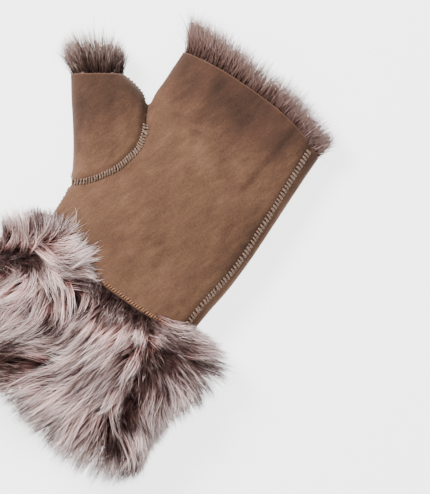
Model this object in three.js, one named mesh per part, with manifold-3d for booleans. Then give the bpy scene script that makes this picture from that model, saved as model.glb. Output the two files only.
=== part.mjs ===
// A fingerless sheepskin mitten lying on a surface: suede hand and thumb with the wool inside, and a deep fur cuff.
// +X runs to the little finger's side, +Y to the finger opening and +Z up. The origin is on the surface,
// under the middle of the palm. All sizes are in millimetres.
import * as THREE from "three";
import { mergeVertices } from "three/addons/utils/BufferGeometryUtils.js";
import Module from "manifold-3d";

const wasm = await Module();
wasm.setup();

// The skin, and the gap that is left between pieces
const skinThickness = 1.6;
const seamGap = 0.3;
const foldShare = 0.42; // height of the side folds, as a share of a section's height
const pressShare = 1.16; // how far the underside would bulge if the surface didn't flatten it
const roundness = 0.8; // power that squares a section's corners a little

// The hand, from the wrist seam to the finger opening
const handWidth = 107;
const handLength = 151;
const handHeight = 34;
const originShare = 0.48; // how much of the hand's length lies between the wrist seam and the origin
const fingerEdgeDrop = { left: 0.036, right: 0.062, power: 2.5 }; // shares of the hand's length
const wristEdgeRise = { left: 0.06, right: 0.06, power: 4 };
const handWoolDepth = 6;

// The thumb, which leans away from the hand's length
const thumbWidth = 48;
const thumbLength = 56;
const thumbHeight = 29;
const thumbLean = 35.4;
const thumbRoot = { x: -0.903, y: 0.415 }; // shares of half the hand's width, and of its length from the wrist
const thumbWoolDepth = 4;

// The cuff's skin, which the underfur lifts off the surface
const cuffLength = 78;
const cuffWidth = 140;
const cuffHeight = 46;
const cuffMouthSlant = 0.09; // how much longer the cuff is for each millimetre towards the thumb's side

// Locks of fur on the cuff, and of wool at the two openings
const cuffLock = { length: 38, width: 30, depth: 14, lift: 14, sideLift: 58, rows: 4, around: 13, firstRow: 0.35 };
const fingerLock = { length: 23, width: 17, depth: 6.5, around: 16 };
const thumbLock = { length: 27, width: 15, depth: 6, around: 8 };
const lockTaper = { root: 1.35, tip: 0.5 }; // how the width and depth change from the root to the tip
const lockCurl = 0.55; // how far the tip bends back towards the skin, as a share of the depth
const lockFaces = { around: 6, along: 4 };
const lockSpread = { even: 0.1, odd: 0.25 }; // how far every other wool lock leans outwards
const lockStagger = 7; // degrees that each row of the cuff's locks turns aside, one way and then the other
const lockSink = 0.4; // share of a wool lock's length that stands in the wool behind the edge
const woolClearance = 0.6; // between the wool locks and the surface

// Sides of a section of the hand and thumb, and of the cuff
const sides = 24;
const cuffSides = 20;

// Rows from the wrist to the fingers. at is a share of the length, left and right of half the hand's width,
// and low and high of its height.
const handSections = [
  { at: 0.0, left: -1.1, right: 1.0, low: 0.07, high: 1.0 },
  { at: 0.1, left: -1.12, right: 1.025, low: 0.02, high: 1.03 },
  { at: 0.23, left: -1.12, right: 1.055, low: 0.0, high: 1.02 },
  { at: 0.38, left: -1.01, right: 1.065, low: 0.0, high: 1.0 },
  { at: 0.51, left: -0.92, right: 1.06, low: 0.0, high: 1.0 },
  { at: 0.63, left: -0.86, right: 1.05, low: 0.0, high: 0.98 },
  { at: 0.74, left: -0.93, right: 1.04, low: 0.0, high: 0.95 },
  { at: 0.87, left: -0.955, right: 1.035, low: 0.0, high: 0.91 },
  { at: 1.0, left: -0.965, right: 1.034, low: 0.03, high: 0.85 },
];

// Rows from inside the palm to the thumb's opening. at is a share of the thumb's length, left and right of half
// its width, and low and high of its height.
const thumbSections = [
  { at: -0.36, left: -0.98, right: 0.1, low: 0.2, high: 0.8 },
  { at: -0.15, left: -0.97, right: 0.6, low: 0.04, high: 1.04 },
  { at: 0.1, left: -0.94, right: 0.96, low: 0.0, high: 1.12 },
  { at: 0.4, left: -0.95, right: 1.04, low: 0.0, high: 1.1 },
  { at: 0.6, left: -0.97, right: 0.98, low: 0.0, high: 1.05 },
  { at: 0.74, left: -0.99, right: 0.9, low: 0.0, high: 1.01 },
  { at: 0.88, left: -1.0, right: 0.7, low: 0.0, high: 0.97 },
  { at: 1.0, left: -1.01, right: 0.38, low: 0.03, high: 0.92 },
];

// Rows from the wrist seam to the mouth. at is a share of the cuff's length, left and right of half its width,
// and low and high of its height. The first row meets the hand's first section.
const cuffSections = [
  { at: 0.09, left: -0.95, right: 0.91, low: 0.13, high: 0.86 },
  { at: 0.25, left: -1.0, right: 0.97, low: 0.19, high: 0.96 },
  { at: 0.5, left: -1.01, right: 1.0, low: 0.2, high: 1.02 },
  { at: 0.75, left: -1.0, right: 1.01, low: 0.2, high: 1.03 },
  { at: 1.0, left: -0.98, right: 1.0, low: 0.2, high: 0.98 },
];

// Broad dents and swells of the upper side. x is a share of half the hand's width and y of its length from the
// wrist, reach is a share of the width, and rise of the height.
const dents = [
  { x: -0.45, y: 0.8, reach: 0.22, rise: -0.045 },
  { x: 0.25, y: 0.84, reach: 0.25, rise: -0.06 },
  { x: -0.1, y: 0.6, reach: 0.2, rise: 0.035 },
  { x: 0.62, y: 0.5, reach: 0.2, rise: -0.03 },
  { x: 0.35, y: 0.16, reach: 0.2, rise: -0.05 },
  { x: -0.25, y: 0.3, reach: 0.22, rise: 0.03 },
];

// The seam round the thumb's base, from the hand's folded edge to the crotch and on between thumb and hand.
// across is a share of half the thumb's width, and along of its length.
const thumbSeam = [
  { across: -1.5, along: -0.18 },
  { across: -1.0, along: -0.195 },
  { across: -0.62, along: -0.186 },
  { across: -0.38, along: -0.157 },
  { across: -0.05, along: -0.1 },
  { across: 0.24, along: -0.037 },
  { across: 0.5, along: 0.063 },
  { across: 0.7, along: 0.146 },
  { across: 0.84, along: 0.246 },
  { across: 0.93, along: 0.371 },
  { across: 0.95, along: 0.5 },
  { across: 0.985, along: 0.643 },
  { across: 1.04, along: 0.82 },
  { across: 1.1, along: 1.2 },
];

// The seam along the little finger's side, on the upper side. x is a share of half the hand's width, and y of its
// length from the wrist.
const sideSeam = [
  { x: 0.9, y: -0.1 },
  { x: 0.905, y: 0.15 },
  { x: 0.965, y: 0.35 },
  { x: 0.945, y: 0.6 },
  { x: 0.9, y: 0.85 },
  { x: 0.86, y: 1.1 },
];

// How the fur of the cuff lies: each row turns the locks near one place by an angle in degrees, counted from the
// mouth's way and positive towards the little finger's side. around is a share of the way round, from the little
// finger's side over the top, and along of the cuff's length.
const whorls = [
  { around: 0.4, along: 0.1, reach: 0.1, turn: -85 },
  { around: 0.3, along: 0.4, reach: 0.14, turn: -35 },
  { around: 0.08, along: 0.2, reach: 0.1, turn: 55 },
  { around: 0.15, along: 0.8, reach: 0.12, turn: 30 },
];

const halfHand = handWidth / 2;
const halfThumb = thumbWidth / 2;
const wristFromOrigin = handLength * originShare;
const lean = THREE.MathUtils.degToRad(thumbLean);
const tall = 2 * (handHeight + thumbHeight); // more than any piece is high
const pastEnd = 3 * (skinThickness + seamGap); // how far a cutting solid runs past an opening
const edgeReach = 1.2; // how wide the curved edges are cut, as a share of half the hand's width
const edgeSteps = 16;
const bladeSteps = 20;

/** A power that keeps the sign. */
function signedPower(value, power) {
  return Math.sign(value) * Math.abs(value) ** power;
}

/** How far an edge has moved at x, growing with the distance from the middle on either side. */
function bow(x, shape) {
  return handLength * (x < 0 ? shape.left : shape.right) * Math.abs(x / halfHand) ** shape.power;
}

/** A place on the hand given by shares of half its width and of its length from the wrist. */
function onHand({ x, y }) {
  return new THREE.Vector3(x * halfHand, y * handLength - wristFromOrigin, 0);
}

/** The hand's lower edge at x. */
function wristEdge(x) {
  return -wristFromOrigin + bow(x, wristEdgeRise);
}

/** The hand's upper edge at x. */
function fingerEdge(x) {
  return handLength - wristFromOrigin - bow(x, fingerEdgeDrop);
}

/** The rise of the upper side at a place on the hand. */
function dentRise(x, y) {
  const rises = dents.map((dent) => {
    const away = onHand(dent).distanceTo(new THREE.Vector3(x, y, 0));
    return dent.rise * handHeight * Math.exp(-((away / (dent.reach * handWidth)) ** 2));
  });
  return rises.reduce((sum, rise) => sum + rise, 0);
}

/**
 * The outline of a flattened tube, in x and z, with its underside pressed flat.
 * The inset moves it inwards on all sides. A point's side is 1 at the top, -1 below and 0 at the folds, and
 * its edge is the x that it would have without the inset.
 */
function sectionOutline({ left, right, low, high }, inset, count) {
  const middle = (left + right) / 2;
  const halfWidth = (right - left) / 2;
  const fold = low + (high - low) * foldShare;
  return Array.from({ length: count }, (_, i) => {
    const angle = (2 * Math.PI * i) / count;
    const across = signedPower(Math.cos(angle), roundness);
    const side = signedPower(Math.sin(angle), roundness);
    const reach = side > 0 ? high - inset - fold : (fold - low - inset) * pressShare;
    return {
      x: middle + (halfWidth - inset) * across,
      z: Math.max(low + inset, fold + reach * side),
      side,
      edge: middle + halfWidth * across,
    };
  });
}

/** Scales a row of a section table to millimetres. */
function sized(row, halfWidth, height) {
  return {
    at: row.at,
    left: row.left * halfWidth,
    right: row.right * halfWidth,
    low: row.low * height,
    high: row.high * height,
  };
}

/** The row of a table at a share of its length, with straight lines between its rows and past its ends. */
function rowAt(rows, at) {
  const next = rows.findIndex((row) => row.at > at);
  const upper = Math.max(1, next < 0 ? rows.length - 1 : next);
  const [a, b] = [rows[upper - 1], rows[upper]];
  const share = (at - a.at) / (b.at - a.at);
  const mixed = Object.keys(a).map((key) => [key, a[key] + (b[key] - a[key]) * share]);
  return Object.fromEntries(mixed);
}

/** The rings of the hand's tube. A longer end carries it past both openings. */
function handRings(inset, endLength) {
  const past = endLength / handLength;
  const rows = [...handSections.slice(1, -1), rowAt(handSections, -past), rowAt(handSections, 1 + past)];
  rows.sort((a, b) => a.at - b.at);
  return rows.map((row) =>
    sectionOutline(sized(row, halfHand, handHeight), inset, sides).map(({ x, z, side, edge }) => {
      const y = THREE.MathUtils.lerp(wristEdge(edge), fingerEdge(edge), row.at);
      return new THREE.Vector3(x, y, z + Math.max(0, side) * dentRise(x, y));
    }),
  );
}

/** Moves a point of the thumb, given across and along it, to its place on the hand. */
function onThumb(across, along, z) {
  return new THREE.Vector3(across, along, z)
    .applyAxisAngle(new THREE.Vector3(0, 0, 1), lean)
    .add(onHand(thumbRoot));
}

/** The rings of the thumb's tube, of which an end longer than 0 carries it past the opening. */
function thumbRings(inset, endLength = 0) {
  const last = rowAt(thumbSections, 1 + endLength / thumbLength);
  return [...thumbSections.slice(0, -1), last].map((row) =>
    sectionOutline(sized(row, halfThumb, thumbHeight), inset, sides).map(({ x, z }) =>
      onThumb(x, row.at * thumbLength, z),
    ),
  );
}

/** The rings of the cuff's tube, from the mouth to the wrist. Ends longer than 0 carry it past both. */
function cuffRings(inset, endLength = 0) {
  const wrist = sized(handSections[0], halfHand, handHeight);
  const rows = [wrist, ...cuffSections.map((row) => sized(row, cuffWidth / 2, cuffHeight))];
  if (endLength > 0) {
    rows.unshift({ ...wrist, at: -endLength / cuffLength });
    rows.push({ ...rows[rows.length - 1], at: 1 + endLength / cuffLength });
  }
  return rows.reverse().map((row) =>
    sectionOutline(row, inset, cuffSides).map(({ x, z, edge }) => {
      const start = wristEdge((edge * wrist.right) / row.right) - seamGap;
      const length = cuffLength - cuffMouthSlant * edge;
      return new THREE.Vector3(x, start - row.at * length, z);
    }),
  );
}

/** The middle of a ring of points. */
function middleOf(ring) {
  return ring.reduce((sum, point) => sum.add(point), new THREE.Vector3()).divideScalar(ring.length);
}

/** A closed solid through rings of points, each ring running the same way round. */
function loft(rings) {
  const count = rings[0].length;
  const points = [...rings.flat(), middleOf(rings[0]), middleOf(rings[rings.length - 1])];
  const faces = [];
  const lastRing = (rings.length - 1) * count;
  for (let i = 0; i < count; i += 1) {
    const next = (i + 1) % count;
    for (let start = 0; start < lastRing; start += count) {
      faces.push(start + i, start + count + i, start + count + next);
      faces.push(start + i, start + count + next, start + next);
    }
    faces.push(points.length - 2, i, next);
    faces.push(points.length - 1, lastRing + next, lastRing + i);
  }
  const geometry = new THREE.BufferGeometry().setFromPoints(points);
  geometry.setIndex(faces);
  return solidOf(geometry);
}

/** Everything past one end of the hand, whose edge is curved as seen from above. The way is 1 at the fingers. */
function pastHandEdge(edge, way, endLength) {
  const reach = edgeReach * halfHand;
  const far = way * 2 * handLength;
  const line = Array.from({ length: edgeSteps + 1 }, (_, i) => {
    const x = reach * ((2 * i) / edgeSteps - 1);
    return new THREE.Vector2(x, edge(x) + way * endLength);
  });
  const outline = new THREE.Shape([...line, new THREE.Vector2(reach, far), new THREE.Vector2(-reach, far)]);
  const geometry = new THREE.ExtrudeGeometry(outline, { depth: 2 * tall, bevelEnabled: false });
  return solidOf(geometry.translate(0, 0, -tall));
}

/** The hand as a solid with the inset on all sides, and its two ends on the curved edges. */
function handTube(inset, endLength = 0) {
  return loft(handRings(inset, endLength + pastEnd))
    .subtract(pastHandEdge(wristEdge, -1, endLength))
    .subtract(pastHandEdge(fingerEdge, 1, endLength));
}

/** A closed three.js geometry as a solid for joining and cutting. */
function solidOf(geometry) {
  const bare = geometry.clone();
  bare.deleteAttribute("normal");
  bare.deleteAttribute("uv");
  const merged = mergeVertices(bare, 1e-3);
  return new wasm.Manifold(
    new wasm.Mesh({
      numProp: 3,
      vertProperties: merged.attributes.position.array,
      triVerts: new Uint32Array(merged.index.array),
    }),
  );
}

/** A solid as a three.js geometry, without the chips that rounding its points may break off. */
function geometryOf(solid) {
  const rounded = new wasm.Manifold(solid.getMesh());
  const { vertProperties, triVerts } = bodiesOf(rounded)[0].getMesh();
  const geometry = new THREE.BufferGeometry();
  geometry.setAttribute("position", new THREE.BufferAttribute(vertProperties, 3));
  geometry.setIndex(new THREE.BufferAttribute(triVerts, 1));
  const flat = geometry.toNonIndexed();
  flat.computeVertexNormals();
  return flat;
}

/** The bodies of a solid from the largest to the smallest, without the pockets sealed inside them. */
function bodiesOf(solid) {
  return solid
    .decompose()
    .filter((body) => body.volume() > 0)
    .sort((a, b) => b.volume() - a.volume());
}

/** A wall as thin as a seam's gap that follows points in x and y, from one height to another. */
function blade(points, low, high) {
  const path = new THREE.CatmullRomCurve3(points);
  const line = path.getPoints(bladeSteps);
  const side = (distance) =>
    line.map((point, i) => {
      const way = line[Math.min(i + 1, line.length - 1)].clone().sub(line[Math.max(i - 1, 0)]).normalize();
      return new THREE.Vector2(point.x - way.y * distance, point.y + way.x * distance);
    });
  const outline = new THREE.Shape([...side(-seamGap / 2), ...side(seamGap / 2).reverse()]);
  const geometry = new THREE.ExtrudeGeometry(outline, { depth: high - low, bevelEnabled: false });
  return solidOf(geometry.translate(0, 0, low));
}

/** Splits a solid along the seam round the thumb. */
function splitAtThumb(solid) {
  const path = thumbSeam.map(({ across, along }) => onThumb(across * halfThumb, along * thumbLength, 0));
  const [hand, thumb] = bodiesOf(solid.subtract(blade(path, -tall, tall)));
  return { hand, thumb };
}

/** The skin of the hand and thumb, with its seams open by the gap. */
function makeLeather() {
  const outer = handTube(0).add(loft(thumbRings(0)));
  const inner = handTube(skinThickness, pastEnd).add(loft(thumbRings(skinThickness, pastEnd)));
  const { hand, thumb } = splitAtThumb(outer.subtract(inner));
  const sideBlade = blade(sideSeam.map(onHand), handHeight * foldShare, tall);
  const panel = hand.subtract(sideBlade).subtract(palmBlade());
  return { hand: bodiesOf(panel)[0], thumb };
}

/** A level blade that opens the seam on the palm's folded edge, from past the wrist up to the thumb's seam. */
function palmBlade() {
  const end = onThumb(-halfThumb, thumbSeam[1].along * thumbLength, 0);
  const start = onHand({ x: handSections[0].left, y: 0 }).setY(-2 * wristFromOrigin);
  const geometry = new THREE.BoxGeometry(halfThumb, end.y - start.y, seamGap);
  return solidOf(geometry.translate(start.x, (start.y + end.y) / 2, handHeight * foldShare));
}

/** The whole room of the hand and thumb, with the gap round it. */
function leatherRoom() {
  return handTube(-seamGap, seamGap).add(loft(thumbRings(-seamGap, seamGap)));
}

/**
 * A lock of fur from its root at the origin to its tip on +Y, tapered and curled towards -Z.
 * The root is a blunt end, and the tip a point.
 */
function lockGeometry({ length, width, depth }) {
  const geometry = new THREE.SphereGeometry(0.5, lockFaces.around, lockFaces.along);
  const place = geometry.attributes.position;
  for (let i = 0; i < place.count; i += 1) {
    const share = place.getY(i) + 0.5;
    const taper = THREE.MathUtils.lerp(lockTaper.root, lockTaper.tip, share);
    const curl = lockCurl * depth * share * share;
    place.setXYZ(i, place.getX(i) * width * taper, share * length, place.getZ(i) * depth * taper - curl);
  }
  return geometry;
}

/** A lock from a point along a way, with its broad side to the normal. Nothing of it is below the lowest z. */
function placedLock(shape, point, way, normal, lowest) {
  const along = way.clone().normalize();
  const across = along.clone().cross(normal).normalize();
  const out = across.clone().cross(along);
  const turn = new THREE.Matrix4().makeBasis(across, along, out).setPosition(point);
  const geometry = lockGeometry(shape).applyMatrix4(turn);
  const place = geometry.attributes.position;
  for (let i = 0; i < place.count; i += 1) place.setZ(i, Math.max(lowest, place.getZ(i)));
  return solidOf(geometry);
}

/** Points spread evenly along a closed ring, each with the way along the ring. */
function aroundRing(ring, count) {
  const curve = new THREE.CatmullRomCurve3(ring, true);
  return Array.from({ length: count }, (_, i) => ({
    point: curve.getPointAt(i / count),
    tangent: curve.getTangentAt(i / count),
  }));
}

/** The wool of an opening: locks on a ring in the wool's depth that point out of the opening and fan a little. */
function openingLocks(ring, shape, outwards) {
  const locks = aroundRing(ring, shape.around).map(({ point, tangent }, i) => {
    const normal = outwards.clone().cross(tangent).normalize();
    const way = outwards.clone().addScaledVector(normal, i % 2 ? lockSpread.odd : lockSpread.even);
    const root = point.clone().addScaledVector(outwards, -lockSink * shape.length);
    return placedLock(shape, root, way, normal, woolClearance);
  });
  return wasm.Manifold.union(locks);
}

/** The wool inside the hand and thumb, which stands out of the openings and ends in locks there. */
function makeWool() {
  const room = skinThickness + seamGap;
  const tube = handTube(room, 2 * seamGap).add(loft(thumbRings(room, 2 * seamGap)));
  const hollow = handTube(room + handWoolDepth, handLength).add(
    loft(thumbRings(room + thumbWoolDepth, thumbLength)),
  );
  const fingerRing = handRings(room + handWoolDepth / 2, 0).pop();
  const thumbRing = thumbRings(room + thumbWoolDepth / 2).pop();
  const thumbWay = onThumb(0, 1, 0).sub(onThumb(0, 0, 0));
  const locks = openingLocks(fingerRing, fingerLock, new THREE.Vector3(0, 1, 0)).add(
    openingLocks(thumbRing, thumbLock, thumbWay),
  );
  const wool = tube.add(locks.subtract(leatherRoom())).subtract(hollow);
  return splitAtThumb(wool.subtract(pastHandEdge(wristEdge, -1, 0)));
}

/** The angle that the fur is turned by at a place on the cuff, in degrees. */
function furTurn(around, along) {
  const turns = whorls.map((whorl) => {
    const aside = Math.abs(around - whorl.around);
    const away = Math.hypot(Math.min(aside, 1 - aside), (along - whorl.along) / 3);
    return whorl.turn * Math.exp(-((away / whorl.reach) ** 2));
  });
  return turns.reduce((sum, turn) => sum + turn, 0);
}

/** The way that a lock of the cuff runs, lifted off the skin most on the sides next to the hand. */
function lockWay(normal, around, along, stagger) {
  const turn = THREE.MathUtils.degToRad(furTurn(around, along) + stagger);
  const lift = THREE.MathUtils.degToRad(cuffLock.lift + cuffLock.sideLift * Math.abs(normal.x) * (1 - along));
  const flat = new THREE.Vector3(0, -1, 0).applyAxisAngle(normal, turn);
  return flat.multiplyScalar(Math.cos(lift)).addScaledVector(normal, Math.sin(lift));
}

/** The ring of the cuff's skin at a share of the way through its rows. */
function ringAt(rings, share) {
  const place = share * (rings.length - 1);
  const below = Math.min(Math.floor(place), rings.length - 2);
  return rings[below].map((point, i) => point.clone().lerp(rings[below + 1][i], place - below));
}

/** The cuff: a skin tube with rows of locks, hollow right through and clear of the hand. */
function makeCuff() {
  const skin = cuffRings(0).reverse();
  const locks = [];
  for (let row = 0; row < cuffLock.rows; row += 1) {
    const along = (row + cuffLock.firstRow) / cuffLock.rows;
    const stagger = row % 2 ? lockStagger : -lockStagger;
    aroundRing(ringAt(skin, along), cuffLock.around).forEach(({ point, tangent }, i) => {
      const normal = tangent.clone().cross(new THREE.Vector3(0, -1, 0)).normalize();
      const root = point.clone().addScaledVector(normal, -cuffLock.depth / 4);
      const way = lockWay(normal, i / cuffLock.around, along, stagger);
      locks.push(placedLock(cuffLock, root, way, normal, 0));
    });
  }
  const whole = loft(cuffRings(0)).add(wasm.Manifold.union(locks));
  const hollow = loft(cuffRings(skinThickness, handLength / 2));
  return bodiesOf(whole.subtract(leatherRoom()).subtract(hollow))[0];
}

/** A named piece of the mitten with its own material. */
function piece(name, solid, color, roughness) {
  const material = new THREE.MeshStandardMaterial({ color, roughness, metalness: 0 });
  const mesh = new THREE.Mesh(geometryOf(solid), material);
  mesh.name = name;
  return mesh;
}

const leather = makeLeather();
const wool = makeWool();

const mitten = new THREE.Group();
mitten.name = "mitten";
mitten.add(
  piece("hand_panel", leather.hand, 0x8f6f5c, 0.9),
  piece("thumb_panel", leather.thumb, 0x8b6c59, 0.9),
  piece("hand_wool", wool.hand, 0x9c8787, 0.95),
  piece("thumb_wool", wool.thumb, 0x7b6a6a, 0.95),
  piece("cuff_fur", makeCuff(), 0xa39194, 0.95),
);

export default mitten;
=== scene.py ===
"""A fingerless sheepskin mitten lying flat: suede skins, whip stitches, a wool lining and a cuff of long fur.

Lengths are in millimetres until a mesh is made. The frame is the CAD model's: +X to the little finger's side,
+Y to the finger opening, +Z up from the surface, and the origin under the middle of the palm.
"""

import logging
import math
from collections.abc import Callable, Sequence
from dataclasses import dataclass, field
from enum import Enum
from functools import cached_property

import bmesh
import bpy
import numpy as np
from mathutils import Matrix, Vector, noise
from mathutils.bvhtree import BVHTree


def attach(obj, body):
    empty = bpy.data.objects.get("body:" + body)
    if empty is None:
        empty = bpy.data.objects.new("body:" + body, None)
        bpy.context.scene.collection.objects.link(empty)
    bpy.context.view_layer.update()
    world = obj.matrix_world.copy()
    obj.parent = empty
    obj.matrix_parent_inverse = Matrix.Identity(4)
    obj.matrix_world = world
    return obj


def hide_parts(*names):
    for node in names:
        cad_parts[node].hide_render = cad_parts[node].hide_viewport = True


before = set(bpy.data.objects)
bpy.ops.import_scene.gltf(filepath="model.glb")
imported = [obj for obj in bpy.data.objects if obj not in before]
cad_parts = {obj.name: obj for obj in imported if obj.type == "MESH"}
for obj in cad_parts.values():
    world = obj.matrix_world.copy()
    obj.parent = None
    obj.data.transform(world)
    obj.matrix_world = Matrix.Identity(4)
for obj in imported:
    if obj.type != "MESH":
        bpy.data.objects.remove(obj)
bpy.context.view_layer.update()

Array = np.ndarray
LOG = logging.getLogger("mitten")
MM = 0.001
SEED = 417

HAND_WIDTH = 107.0
HAND_LENGTH = 151.0
HAND_HEIGHT = 34.0
WRIST_Y = -0.48 * HAND_LENGTH
THUMB_WIDTH = 48.0
THUMB_LENGTH = 56.0
THUMB_HEIGHT = 29.0
THUMB_LEAN = math.radians(35.4)
THUMB_ROOT = np.array([-0.903 * HAND_WIDTH / 2, 0.415 * HAND_LENGTH + WRIST_Y, 0.0])
THUMB_WAY = np.array([-math.sin(THUMB_LEAN), math.cos(THUMB_LEAN), 0.0])
FINGER_WAY = np.array([0.0, 1.0, 0.0])
CUFF_WIDTH = 140.0
CUFF_LENGTH = 78.0
CUFF_HEIGHT = 46.0
SKIN = 1.6
SEAM_GAP = 0.3
STRAND_MAP = "OFBake"
FAR_AWAY = 99.0  # a distance for what a seam doesn't reach
UNDERSIDE = -0.2  # the upward part of a normal, below which the skin faces down
TABLE_GAP = 0.5  # how far a hair stays above the surface


# Small helpers


def inside(points: Array, outline: Array) -> Array:
    """Whether places in plan lie inside an outline.

    Args:
        points: The places, in the last axis.
        outline: Its corners, in order.

    Returns:
        True for each place inside.
    """
    x, y = points[..., 0], points[..., 1]
    found = np.zeros(x.shape, dtype=bool)
    for (x0, y0), (x1, y1) in zip(outline, np.roll(outline, -1, axis=0)):
        crosses = (y0 > y) != (y1 > y)
        rise = y1 - y0 if y1 != y0 else 1e-9
        found ^= crosses & (x < x0 + (y - y0) * (x1 - x0) / rise)
    return found


def linear(color: str) -> tuple[float, float, float, float]:
    """Turns an sRGB hex colour to linear.

    Args:
        color: The colour as #rrggbb.

    Returns:
        Linear red, green, blue and an alpha of 1.
    """
    parts = [int(color[i : i + 2], 16) / 255 for i in (1, 3, 5)]
    red, green, blue = ((c / 12.92) if c <= 0.04045 else ((c + 0.055) / 1.055) ** 2.4 for c in parts)
    return red, green, blue, 1.0


def per_metre(size: float) -> float:
    """The scale that gives a pattern features of a size in millimetres."""
    return 1.0 / (size * MM)


def unit(vectors: Array) -> Array:
    """Vectors of length 1, along the last axis."""
    return vectors / np.maximum(np.linalg.norm(vectors, axis=-1, keepdims=True), 1e-9)


def eased(values: Array, start: float, room: float) -> Array:
    """Values that pass a start less and less, and never by more than the room given."""
    past = np.maximum(values - start, 0.0)
    return values - past + past * room / (past + room)


def smooth_table(stops: Array, values: Array, at: Array) -> Array:
    """Reads a table between its rows, on curves through every row and straight lines past its ends.

    Args:
        stops: Where each row stands, rising.
        values: The rows, one column for each value.
        at: The places to read.

    Returns:
        The values at each place, in the last axis.
    """
    slopes = np.gradient(values, stops, axis=0)
    low = np.clip(np.searchsorted(stops, at, side="right") - 1, 0, len(stops) - 2)
    span = (stops[low + 1] - stops[low])[..., None]
    share = (at - stops[low])[..., None] / span
    t = np.clip(share, 0.0, 1.0)
    past = (share - t) * span * np.where(share > 1, slopes[low + 1], slopes[low])
    start = (1 + 2 * t) * (1 - t) ** 2 * values[low] + t * (1 - t) ** 2 * span * slopes[low]
    end = t**2 * (3 - 2 * t) * values[low + 1] + t**2 * (t - 1) * span * slopes[low + 1]
    return start + end + past


def rough(points: Array, wave: float, seed: float) -> Array:
    """Smooth noise from about -1 to 1 at each point, with waves of a length in millimetres."""
    shift = Vector((seed, 2.0 * seed, 3.0 * seed))
    return np.array([noise.noise(Vector(point) / wave + shift) for point in points])


def lengths_along(line: Array) -> Array:
    """How far along a polyline each of its points is."""
    return np.concatenate([[0.0], np.cumsum(np.linalg.norm(np.diff(line, axis=0), axis=1))])


def from_polyline(points: Array, line: Array) -> Array:
    """The distance in plan from each point to a polyline.

    Args:
        points: The points.
        line: The polyline's points.

    Returns:
        The distances.
    """
    best = np.full(len(points), np.inf)
    for start, end in zip(line[:-1, :2], line[1:, :2]):
        way = end - start
        share = np.clip((points[:, :2] - start) @ way / (way @ way), 0.0, 1.0)
        best = np.minimum(best, np.linalg.norm(points[:, :2] - start - share[:, None] * way, axis=1))
    return best


def coordinates(mesh: bpy.types.Mesh) -> Array:
    """The places of a mesh's vertices, in millimetres.

    Args:
        mesh: The mesh.

    Returns:
        The places, a row for each vertex.
    """
    flat = np.empty(3 * len(mesh.vertices), dtype=np.float32)
    mesh.vertices.foreach_get("co", flat)
    return flat.reshape(-1, 3).astype(float) / MM


def new_object(name: str, mesh: bpy.types.Mesh) -> bpy.types.Object:
    """A new object of a mesh, at the origin, unturned and unscaled.

    Args:
        name: The object's name.
        mesh: Its mesh.

    Returns:
        The object, in the scene.
    """
    made = bpy.data.objects.new(name, mesh)
    bpy.context.scene.collection.objects.link(made)
    return made


def mesh_of(made: bmesh.types.BMesh, name: str) -> bpy.types.Mesh:
    """Turns a bmesh to a mesh, and frees it.

    Args:
        made: The bmesh.
        name: The mesh's name.

    Returns:
        The mesh.
    """
    mesh = bpy.data.meshes.new(name)
    made.to_mesh(mesh)
    made.free()
    return mesh


def soften(mesh: bpy.types.Mesh) -> None:
    """Shades a mesh smooth."""
    mesh.polygons.foreach_set("use_smooth", np.ones(len(mesh.polygons), dtype=bool))


def relax(made: bmesh.types.BMesh, times: int) -> None:
    """Evens out a skin, each time by half of the way.

    Args:
        made: The skin, which is changed.
        times: How often.
    """
    for _ in range(times):
        bmesh.ops.smooth_vert(
            made, verts=made.verts, factor=0.5, use_axis_x=True, use_axis_y=True, use_axis_z=True
        )


def cut(made: bmesh.types.BMesh, place: Sequence[float], way: Array, reach: float) -> None:
    """Cuts away what lies past a plane.

    Args:
        made: The shape, in metres.
        place: A point of the plane.
        way: The way across the plane, towards what goes.
        reach: How near a corner counts as on the plane.
    """
    everything = list(made.verts) + list(made.edges) + list(made.faces)
    bmesh.ops.bisect_plane(
        made, geom=everything, dist=reach, plane_co=place, plane_no=Vector(way), clear_outer=True
    )


def with_modifiers(source: bpy.types.Object, name: str) -> bpy.types.Mesh:
    """Applies an object's modifiers and removes the object.

    Args:
        source: The object, which is deleted.
        name: The new mesh's name.

    Returns:
        The finished mesh.
    """
    graph = bpy.context.evaluated_depsgraph_get()
    mesh = bpy.data.meshes.new_from_object(source.evaluated_get(graph))
    mesh.name = name
    bpy.data.objects.remove(source)
    return mesh


def remeshed(mesh: bpy.types.Mesh, name: str, grain: float) -> bpy.types.Mesh:
    """Makes a closed mesh anew on a grid.

    Args:
        mesh: The old mesh.
        name: The new mesh's name.
        grain: The grid's size in millimetres.

    Returns:
        The new mesh.
    """
    blank = new_object(name, mesh)
    remesh = blank.modifiers.new("Remesh", "REMESH")
    remesh.mode = "VOXEL"
    remesh.voxel_size = grain * MM
    return with_modifiers(blank, name)


def add_node(tree: bpy.types.NodeTree, kind: str, sockets: dict | None = None, **settings) -> bpy.types.Node:
    """Adds a node, with its settings, colour stops, values and links.

    Args:
        tree: The tree that it goes into.
        kind: The node's type name, without ShaderNode.
        sockets: A value or an output to link, for each input's name or identifier.
        settings: The node's properties. stops is a list of (place, hex colour) for a colour ramp.

    Returns:
        The node.
    """
    made = tree.nodes.new("ShaderNode" + kind)
    stops = settings.pop("stops", None)
    for key, value in settings.items():
        setattr(made, key, value)
    if stops:
        ramp = made.color_ramp.elements
        while len(ramp) < len(stops):
            ramp.new(0.5)
        for element, (place, color) in zip(ramp, stops):
            element.position = place
            element.color = linear(color)
    named = {socket.name: socket for socket in reversed(made.inputs)}
    named |= {socket.identifier: socket for socket in made.inputs}
    for key, value in (sockets or {}).items():
        if isinstance(value, bpy.types.NodeSocket):
            tree.links.new(value, named[key])
        else:
            named[key].default_value = value
    return made


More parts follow.
